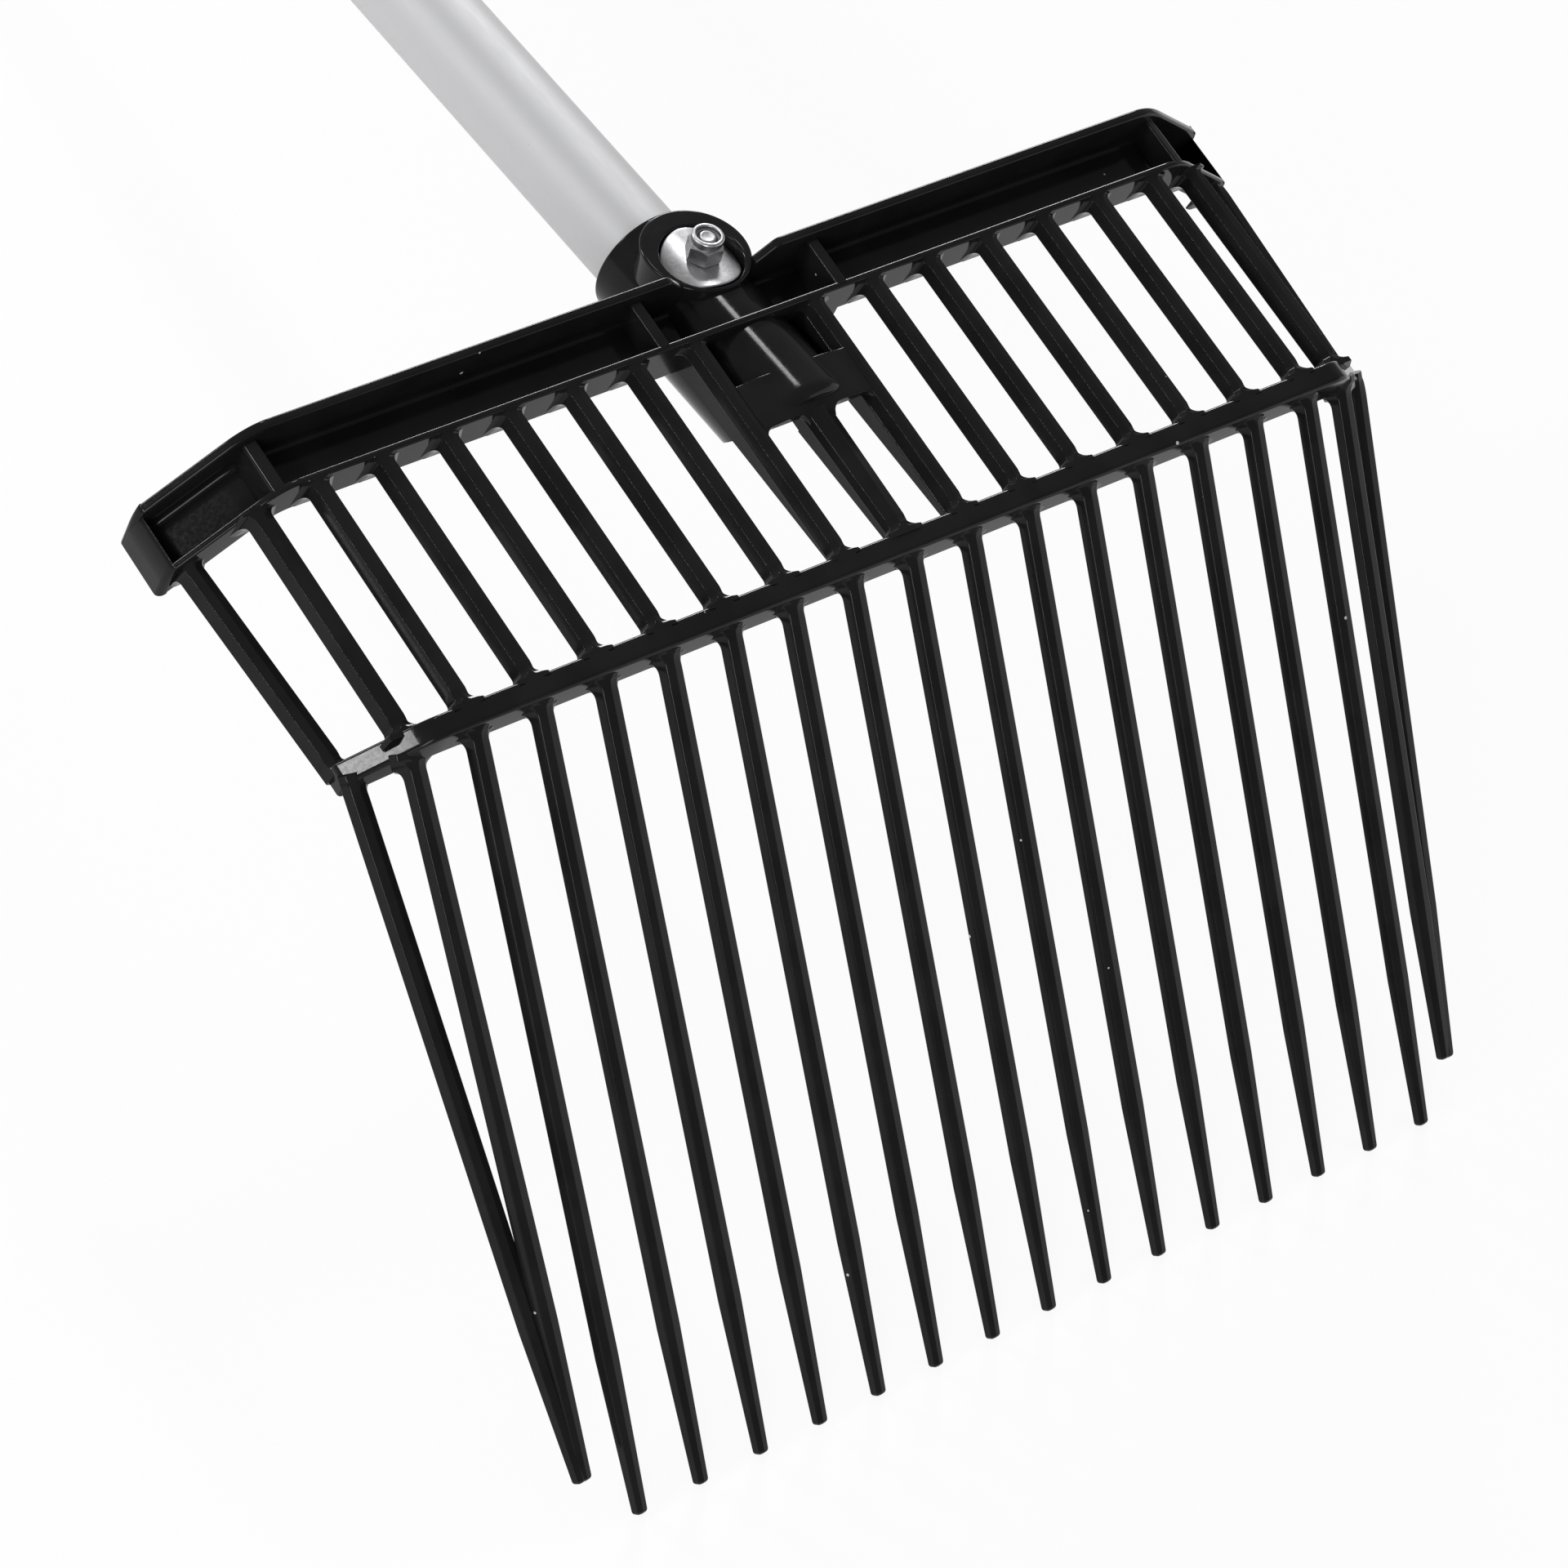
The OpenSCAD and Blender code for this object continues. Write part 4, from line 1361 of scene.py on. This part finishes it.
@dataclass
class HandleSocket:
    """The socket of the handle, with the middle of the beam, the raised ring and the web plate."""

    lip_radius: float = 0.8
    rim_radius: float = 0.9
    plate_radius: float = 0.45
    slab_radius: float = 0.8
    nose_rounding: float = 4.0
    web_shoulder: float = 0.8
    web_edge: float = 0.35
    tongue_dip: float = 0.6
    dip_start: float = 20.15
    dip_end: float = 13.4
    dip_slope: float = 0.93
    dip_ease: float = 1.2
    dip_margin: float = 2.0
    hidden_half: float = 6.0
    hidden_step: float = 0.5
    hidden_top: float = -10.0
    wall_top: float = 1.5
    bury: float = 0.2
    slack: float = 0.1
    foot_radius: float = 0.3
    nose_core: float = 2.0
    seat_share: float = 0.7
    lip_span: float = 2.0
    front_span: float = 1.5
    core_rows: int = 8
    turn_rows: int = 10
    sleeve_rows: int = 60
    rim_rows: int = 7
    dip_rows: int = 24
    side_rows: int = 5
    gap_rows: int = 8
    seat_rows: int = 6

    def sleeve(self) -> Patch:
        """Turn the sleeve's outline about the handle's axis and cut it under the nose.

        Points in front of a slanted plane under the web plate move along the head onto that plane.

        Returns:
            The sleeve with its bore and its rounded nose.
        """
        radius, bore, nose, lip = HANDLE.socket_radius, HANDLE.bore_radius, HANDLE.nose, self.lip_radius
        round_nose, mouth, seat = self.nose_rounding, HANDLE.mouth_length, -HANDLE.tube_seat_depth
        turn = quarter_turn(self.turn_rows)
        nose_x = radius - round_nose + round_nose * np.sin(turn)
        nose_y = -nose + round_nose * (1.0 - np.cos(turn))
        core_x = np.linspace(self.nose_core, nose_x[0], self.core_rows)[:-1]
        long_y = np.linspace(nose_y[-1], mouth - lip, self.sleeve_rows)[1:-1]
        long_x = np.full(len(long_y), radius)
        lip_x, lip_y = lip * np.cos(turn), mouth - lip + lip * np.sin(turn)
        mouth_x = np.concatenate([radius - lip + lip_x, bore + lip - lip_x[::-1]])
        profile_x = np.concatenate([[0.0], core_x, nose_x, long_x, mouth_x, [bore, 0.0]])
        core_y = np.full(self.core_rows, -nose)
        profile_y = np.concatenate([core_y, nose_y, long_y, lip_y, lip_y[::-1], [seat, seat]])
        patch = turned(np.stack([profile_x, profile_y], -1))
        points = on_handle(patch.points[:, [0, 2, 1]])
        under = np.maximum(0.0, HANDLE.web_rise - HANDLE.web_thickness - points[:, 2])
        cut = WEB_FRONT + under * math.tan(math.radians(HANDLE.nose_cut_angle))
        points[:, 1] = np.where(under > 0.0, np.maximum(points[:, 1], cut), points[:, 1])
        return patch.moved(points)

    def ring(self) -> Patch:
        """Raise the ring round the washer.

        Rows of circles run up the outside, over the rounded rim and down the well; the circles of the well
        are set towards the nose by the bolt's offset.

        Returns:
            The closed ring.
        """
        top, rim, outer, well = HANDLE.ring_top, self.rim_radius, HANDLE.ring_radius, HANDLE.well_radius
        turn = quarter_turn(self.rim_rows)
        over, into = outer - rim + rim * np.cos(turn), well + rim - rim * np.cos(turn[::-1])
        rise = top - rim + rim * np.sin(turn)
        radius = np.concatenate([[outer], over, into, [well]])[:, None]
        height = np.concatenate([[0.5 * top], rise, rise[::-1], [0.5 * top]])[:, None]
        shift = np.repeat([0.0, -HANDLE.bolt_offset], len(turn) + 1)[:, None]
        angle = full_turn(ROUND_STEPS)
        rings = grid(radius * np.cos(angle), shift + radius * np.sin(angle), height)
        return skin(on_handle(rings), looped=True)

    def channel(self) -> Patch:
        """Carry the beam's channel through the middle, with a rear wall that dips to the raised ring.

        The top of the rear wall falls at a fixed slope, eased in, from the start of the dip to the ring, and
        stays hidden in the ring and the sleeve from there.

        Returns:
            The channel between the two half beams.
        """
        along, height = RearBeam().section(HEAD.beam_rise - HANDLE.block_depth).T
        high, past_dip = HEAD.beam_rise + HEAD.rear_wall_rise, self.dip_start + self.dip_margin
        half = np.concatenate(
            [
                [0.0, self.hidden_half, self.dip_end - self.hidden_step],
                np.linspace(self.dip_end, past_dip, self.dip_rows),
                np.linspace(past_dip, HANDLE.block_half_width, self.side_rows)[1:],
            ]
        )
        x = mirrored(half)[:, None]
        reach = np.abs(x)
        top = high - self.dip_slope * eased(self.dip_start - reach, self.dip_ease)
        top = np.where(reach < self.dip_end - self.bury, self.hidden_top, top)
        on_wall = (along > HEAD.beam_rear - HEAD.rear_wall - self.slack) & (height > high - self.wall_top)
        return skin(grid(x, along, np.where(on_wall, height - high + top, height)))

    def web(self) -> Patch:
        """Carry the web plate's upright section across the head, with rounded gap ends at its front.

        The front edge runs forward along concave quarter circles beside the middle bar and the bars at its
        sides, and falls there to the backs of the bars. The plate's top falls smoothly to its sides.

        Returns:
            The closed plate.
        """
        side, foot = HEAD.pitch - HEAD.bar_width / 2.0, UpperBars.middle_root + self.web_shoulder
        fillet, r = HEAD.gap_fillet, self.plate_radius
        high, low, rear = HANDLE.web_rise, HANDLE.web_rise - HANDLE.web_thickness, HANDLE.web_length
        corners = np.array([[0.0, low], [rear, low], [rear, high], [0.0, high]])
        outline = rounded_outline(corners, np.full(4, r))
        on_top = 3 * (ARC_STEPS + 1)
        along, height = np.concatenate([outline[:on_top], [[self.lip_span * r, high]], outline[on_top:]]).T
        turn = 1.0 - np.cos(quarter_turn(self.turn_rows))
        half = np.concatenate(
            [
                [0.0, foot - self.slack],
                foot + fillet * turn,
                np.linspace(foot + fillet, side - fillet, self.gap_rows)[1:-1],
                side - fillet * turn[::-1],
                [side + self.bury],
            ]
        )
        x = mirrored(half)[:, None]
        reach = np.abs(x)
        forward = concave_corner(side - reach, fillet) + concave_corner(reach - foot, fillet)
        share = np.clip((reach - 0.5 * side) / (0.5 * side), 0.0, 1.0)
        ahead = along < self.front_span * r
        y = WEB_FRONT + along - np.where(ahead, forward, 0.0)
        even = (high - self.web_edge) * smooth(share)
        fall = even + (high + self.tongue_dip - even) * np.minimum(forward / fillet, 1.0)
        z = height - np.where(height > low + r, np.where(ahead, fall, even), 0.0)
        return skin(grid(x, y, z))

    def slabs(self) -> list[Patch]:
        """Set the two ribs of the middle, and the root of the middle bar's fin under the nose.

        Returns:
            The three rounded slabs.
        """
        outer, inner = HANDLE.block_half_width, HANDLE.block_half_width - HEAD.rib_thickness
        low = HEAD.beam_rise - HANDLE.block_depth + self.bury
        front, rear = HEAD.beam_front + self.bury, HEAD.beam_rear - self.bury
        foot = UpperBars.middle_fin_half - self.bury
        deep = HEAD.bar_depth + float(HEAD.fin_height(WEB_FRONT))
        return [
            rounded_box([inner, front, low], [outer, rear, HEAD.beam_rise], self.slab_radius),
            rounded_box([-outer, front, low], [-inner, rear, HEAD.beam_rise], self.slab_radius),
            rounded_box([-foot, WEB_FRONT, -deep], [foot, WEB_FRONT + HANDLE.nose_radius, 0.0], self.foot_radius),
        ]

    def seat(self) -> Patch:
        """Turn the pad under the bolt's head about the bolt's axis.

        Returns:
            The closed pad.
        """
        turn = quarter_turn(self.seat_rows)
        r, lip, low = HANDLE.seat_radius, self.lip_radius, -HANDLE.seat_bottom
        inner, start = HANDLE.bolt_radius, self.seat_share * low
        profile_x = np.concatenate([[inner, r], r - lip + lip * np.cos(turn), [inner]])
        profile_z = np.concatenate([[start, start], low + lip - lip * np.sin(turn), [low]])
        return on_bolt(turned(np.stack([profile_x, profile_z], -1), looped=True))

    def build(self, shop: Workshop) -> None:
        """Make the socket."""
        patches = [self.channel(), self.sleeve(), self.ring(), self.web(), self.seat(), *self.slabs()]
        shop.make("handle_socket", joined(patches), Slot.PLASTIC)


@dataclass
class Fastening:
    """The bolt, its saddle washer, the lock nut and the nut's insert ring."""

    washer_edge: float = 0.45
    chamfer_rise: float = 0.577
    lip_radius: float = 0.75
    thread_depth: float = 0.22
    thread_pitch: float = 1.0
    thread_length: float = 12.0
    thread_runout: float = 0.6
    rim_step: float = 0.2
    dish_depth: float = 0.3
    tail: tuple[tuple[float, float], ...] = ((-0.55, -0.1), (-0.8, 0.0), (-1.3, -0.05))
    cone_inset: float = 0.25
    neck: tuple[tuple[float, float], ...] = ((-0.35, 0.05), (-0.15, 0.3), (0.0, 0.7))
    mouth: tuple[tuple[float, float], ...] = ((-0.25, -0.1), (-0.35, -0.45), (0.0, -0.9))
    insert_radii: tuple[float, ...] = (0.05, 0.05, 0.2, 0.35)
    disc_splits: int = 9
    cone_rows: int = 5
    lip_rows: int = 7
    cup_rows: int = 16
    thread_rows: int = 96
    bolt_steps: int = 64

    def washer(self) -> Patch:
        """Bend a rounded disc round the socket.

        A point at radius p and angle a of the disc, and at height h in its thickness, stands at
        x = p sin a, y = p cos a and z = root of (socket radius + h) squared less x squared.

        Returns:
            The closed washer.
        """
        hole, outer, thick = HANDLE.hole_radius, HANDLE.washer_radius, HANDLE.washer_thickness
        corners = np.array([[hole, 0.0], [outer, 0.0], [outer, thick], [hole, thick]])
        edge = rounded_outline(corners, np.full(4, self.washer_edge))
        split = np.linspace(0.0, 1.0, self.disc_splits)[1:-1, None]
        steps = ARC_STEPS + 1
        lower = edge[steps - 1] + (edge[steps] - edge[steps - 1]) * split
        upper = edge[3 * steps - 1] + (edge[3 * steps] - edge[3 * steps - 1]) * split
        profile = np.concatenate([edge[:steps], lower, edge[steps : 3 * steps], upper, edge[3 * steps :]])
        patch = turned(profile, looped=True)
        x, y, h = patch.points.T
        z = np.sqrt((HANDLE.socket_radius + h) ** 2 - x**2)
        return on_bolt(patch.moved(grid(x, y, z)))

    def nut(self) -> Patch:
        """Cut a hexagon by two cones and set the rolled collar on it.

        The hexagon's radius at angle a is half its flats over the cosine of the angle to the nearest flat.
        Rows run from the bore over the lower cone, the flats and the upper cone to the collar, over its lip
        and down into the recess.

        Returns:
            The closed nut.
        """
        angle = full_turn(ROUND_STEPS)
        flats = HANDLE.nut_flats / 2.0
        hexagon = flats / np.cos(np.mod(angle, math.pi / 3.0) - math.pi / 6.0)
        tall, top = HANDLE.nut_hex_height, HANDLE.nut_height
        bore, cone = HANDLE.bolt_radius + HANDLE.thread_clearance, flats - self.cone_inset
        collar = flats - HANDLE.thread_clearance
        recess = collar - HANDLE.nut_collar_wall
        lower_r = cone + np.linspace(0.0, 1.0, self.cone_rows)[:, None] * (hexagon - cone)
        upper_r = lower_r[::-1]
        lower_z, upper_z = (lower_r - cone) * self.chamfer_rise, tall - (upper_r - cone) * self.chamfer_rise
        turn, lip = quarter_turn(self.lip_rows), self.lip_radius
        roll = np.stack([collar - lip + lip * np.cos(turn), top - lip + lip * np.sin(turn)], -1)
        neck, mouth = np.array(self.neck) + [collar, tall], np.array(self.mouth) + [recess, top]
        above = np.concatenate([neck, roll, mouth, [[recess, tall], [bore, tall]]])[..., None] + 0.0 * angle
        radius = np.concatenate([np.full((1, ROUND_STEPS), bore), lower_r, upper_r, above[:, 0]])
        height = np.concatenate([np.zeros((1, ROUND_STEPS)), lower_z, upper_z, above[:, 1]])
        rings = grid(radius * np.cos(angle), radius * np.sin(angle), height + HANDLE.washer_top)
        return on_bolt(skin(rings, looped=True))

    def insert(self) -> Patch:
        """Turn the rounded section of the insert ring about the bolt's axis.

        Returns:
            The closed ring.
        """
        inner = HANDLE.bolt_radius + HANDLE.thread_clearance
        outer = HANDLE.nut_flats / 2.0 - HANDLE.thread_clearance - HANDLE.nut_collar_wall
        low = HANDLE.washer_top + HANDLE.nut_hex_height
        high = low + HANDLE.insert_height
        corners = np.array([[inner, low], [outer, low], [outer, high], [inner, high]])
        return on_bolt(turned(rounded_outline(corners, np.array(self.insert_radii)), looped=True))

    def bolt(self) -> Patch:
        """Turn the bolt: a cup head, a shank with thread rings at its end and a dished end.

        The cup is part of a ball through the head's rim and crown: its radius is (rim squared + height squared)
        over twice the height. The thread is a wave of the shank's radius along its end.

        Returns:
            The closed bolt.
        """
        rim, tall, shank = HANDLE.bolt_head_radius, HANDLE.bolt_head_height, HANDLE.bolt_radius
        seat = -HANDLE.seat_bottom
        ball = (rim**2 + tall**2) / (2.0 * tall)
        cup_r = rim * np.sin(quarter_turn(self.cup_rows))
        cup_z = seat - tall + ball - np.sqrt(ball**2 - cup_r**2)
        end = HANDLE.washer_top + HANDLE.nut_height - HANDLE.bolt_end_depth
        thread_z = np.linspace(end - self.thread_length, end - self.thread_runout, self.thread_rows)
        wave = 0.5 - 0.5 * np.cos((thread_z - end) * 2.0 * math.pi / self.thread_pitch)
        thread_r = shank - self.thread_depth * wave
        tail_r, tail_z = (np.array(self.tail) + [shank, end]).T
        profile_r = np.concatenate([cup_r, [rim - self.rim_step, shank, shank], thread_r, tail_r, [0.0]])
        neck_z = [seat, seat, thread_z[0] - self.rim_step]
        profile_z = np.concatenate([cup_z, neck_z, thread_z, tail_z, [end - self.dish_depth]])
        return on_bolt(turned(np.stack([profile_r, profile_z], -1), self.bolt_steps))

    def build(self, shop: Workshop) -> None:
        """Make the four pieces.

        Args:
            shop: Maker of the pieces.
        """
        shop.make("saddle_washer", self.washer(), Slot.ZINC)
        shop.make("lock_nut", self.nut(), Slot.ZINC)
        shop.make("nut_insert", self.insert(), Slot.NYLON)
        shop.make("clamp_bolt", self.bolt(), Slot.ZINC)


@dataclass
class HandleTube:
    """The round tube of the handle."""

    rim_radius: float = 0.6

    def build(self, shop: Workshop) -> None:
        """Turn the wall's rounded section about the handle's axis.

        Args:
            shop: Maker of the pieces.
        """
        outer, inner = HANDLE.tube_radius, HANDLE.tube_radius - HANDLE.tube_wall
        low, high = -HANDLE.tube_seat_depth, HANDLE.handle_end
        corners = np.array([[outer, low], [outer, high], [inner, high], [inner, low]])
        patch = turned(rounded_outline(corners, np.full(4, self.rim_radius)), looped=True)
        shop.make("handle_tube", patch.moved(on_handle(patch.points[:, [0, 2, 1]])), Slot.TUBE)


@dataclass(frozen=True)
class Lamp:
    """A rectangular studio lamp that faces a point."""

    name: str
    place: tuple[float, float, float]
    aim: tuple[float, float, float]
    size: tuple[float, float]
    radiance: float

    def light(self) -> None:
        """Set the lamp up; its power is its radiance times its area times pi."""
        data = bpy.data.lights.new(self.name, "AREA")
        data.shape = "RECTANGLE"
        data.size, data.size_y = self.size
        data.energy = self.radiance * self.size[0] * self.size[1] * math.pi
        lamp = bpy.data.objects.new(self.name, data)
        lamp.location = self.place
        lamp.rotation_euler = (Vector(self.aim) - Vector(self.place)).to_track_quat("-Z", "Y").to_euler()
        bpy.context.scene.collection.objects.link(lamp)


@dataclass
class Studio:
    """Floor, lamps, world and camera."""

    floor_size: float = 9.0
    floor_colour: tuple[float, float, float] = (0.94, 0.94, 0.94)
    floor_glow: float = 0.9
    world_level: float = 0.29
    camera_place: tuple[float, float, float] = (-0.919528, -1.146599, 1.396304)
    camera_aim: tuple[float, float, float] = (-0.067618, -0.591018, 0.15)
    camera_roll: float = 27.11554
    camera_lens: float = 131.6427
    sensor_width: float = 36.0
    clip_end: float = 50.0
    lamps: tuple[Lamp, ...] = (
        Lamp("softbox at the left", (-1.714, 0.106, 1.216), (-0.1, -0.58, 0.12), (0.55, 0.15), 46.0),
        Lamp("strip far behind at the right", (2.28, 2.74, 1.2), (0.0, -0.5, 0.15), (1.1, 0.8), 34.0),
        Lamp("strip far behind at the left", (-1.66, 3.19, 1.14), (-0.15, -0.5, 0.15), (0.5, 1.0), 32.0),
        Lamp("high lamp behind", (0.4, 0.68, 1.61), (0.0, -0.5, 0.17), (0.22, 0.26), 28.0),
        Lamp("low card at the right", (1.9, -1.75, 0.5), (0.0, -0.6, 0.1), (2.6, 0.95), 1.25),
        Lamp("card at the left", (-1.2, -1.62, 0.86), (0.0, -0.6, 0.1), (0.5, 0.8), 9.0),
    )

    def floor(self) -> None:
        """Lay the pale floor: lit as it is, and partly glowing white where it is seen or mirrored."""
        half = self.floor_size / 2.0
        mesh = bpy.data.meshes.new("pale_floor")
        corners = [(-half, -half, 0.0), (half, -half, 0.0), (half, half, 0.0), (-half, half, 0.0)]
        mesh.from_pydata(corners, [], [(0, 1, 2, 3)])
        material = bpy.data.materials.new("pale floor")
        material.use_nodes = True
        material.node_tree.nodes.clear()
        sheet = NodeSheet(material.node_tree)
        rays = sheet.add("ShaderNodeLightPath").outputs
        seen = sheet.math("MAXIMUM", rays["Is Camera Ray"], rays["Is Glossy Ray"])
        seen = sheet.math("MAXIMUM", seen, rays["Is Transmission Ray"])
        matt = sheet.add("ShaderNodeBsdfDiffuse")
        sheet.feed(matt, Color=(*self.floor_colour, 1.0))
        glow = sheet.add("ShaderNodeEmission")
        mix = sheet.add("ShaderNodeMixShader")
        sheet.feed(mix, Fac=sheet.math("MULTIPLY", seen, self.floor_glow))
        sheet.into(mix.inputs[1], matt.outputs[0])
        sheet.into(mix.inputs[2], glow.outputs[0])
        sheet.feed(sheet.add("ShaderNodeOutputMaterial"), Surface=mix.outputs[0])
        mesh.materials.append(material)
        floor = bpy.data.objects.new("pale_floor", mesh)
        bpy.context.scene.collection.objects.link(floor)

    def world(self) -> None:
        """Fill the room with an even soft light."""
        world = bpy.data.worlds.new("soft room")
        world.use_nodes = True
        ground = world.node_tree.nodes["Background"]
        ground.inputs["Color"].default_value = (1.0, 1.0, 1.0, 1.0)
        ground.inputs["Strength"].default_value = self.world_level
        bpy.context.scene.world = world

    def camera(self) -> None:
        """Set the camera up as the photograph was taken."""
        data = bpy.data.cameras.new("camera")
        data.sensor_fit = "HORIZONTAL"
        data.sensor_width = self.sensor_width
        data.lens = self.camera_lens
        data.clip_end = self.clip_end
        place, aim = Vector(self.camera_place), Vector(self.camera_aim)
        ahead = (aim - place).normalized()
        level = ahead.cross(Vector((0.0, 0.0, 1.0))).normalized()
        upright = level.cross(ahead)
        roll = math.radians(self.camera_roll)
        right = level * math.cos(roll) + upright * math.sin(roll)
        up = upright * math.cos(roll) - level * math.sin(roll)
        turn = Matrix((right, up, -ahead)).transposed().to_4x4()
        camera = bpy.data.objects.new("camera", data)
        camera.matrix_world = Matrix.Translation(place) @ turn
        bpy.context.scene.collection.objects.link(camera)
        bpy.context.scene.camera = camera

    def build(self) -> None:
        """Set up the whole studio."""
        self.camera()
        self.floor()
        self.world()
        for lamp in self.lamps:
            lamp.light()
        bpy.context.scene.view_settings.view_transform = "Standard"


def main() -> None:
    """Load the frame, build the pieces in order and note the sizes."""
    logging.basicConfig(level=logging.INFO, format="%(name)s: %(message)s")
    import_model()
    Studio().build()
    shop = Workshop()
    RearBeam().build(shop)
    Crossbar().build(shop)
    UpperBars().build(shop)
    LowerTines().build(shop)
    HandleSocket().build(shop)
    HandleTube().build(shop)
    Fastening().build(shop)


if __name__ == "__main__":
    main()
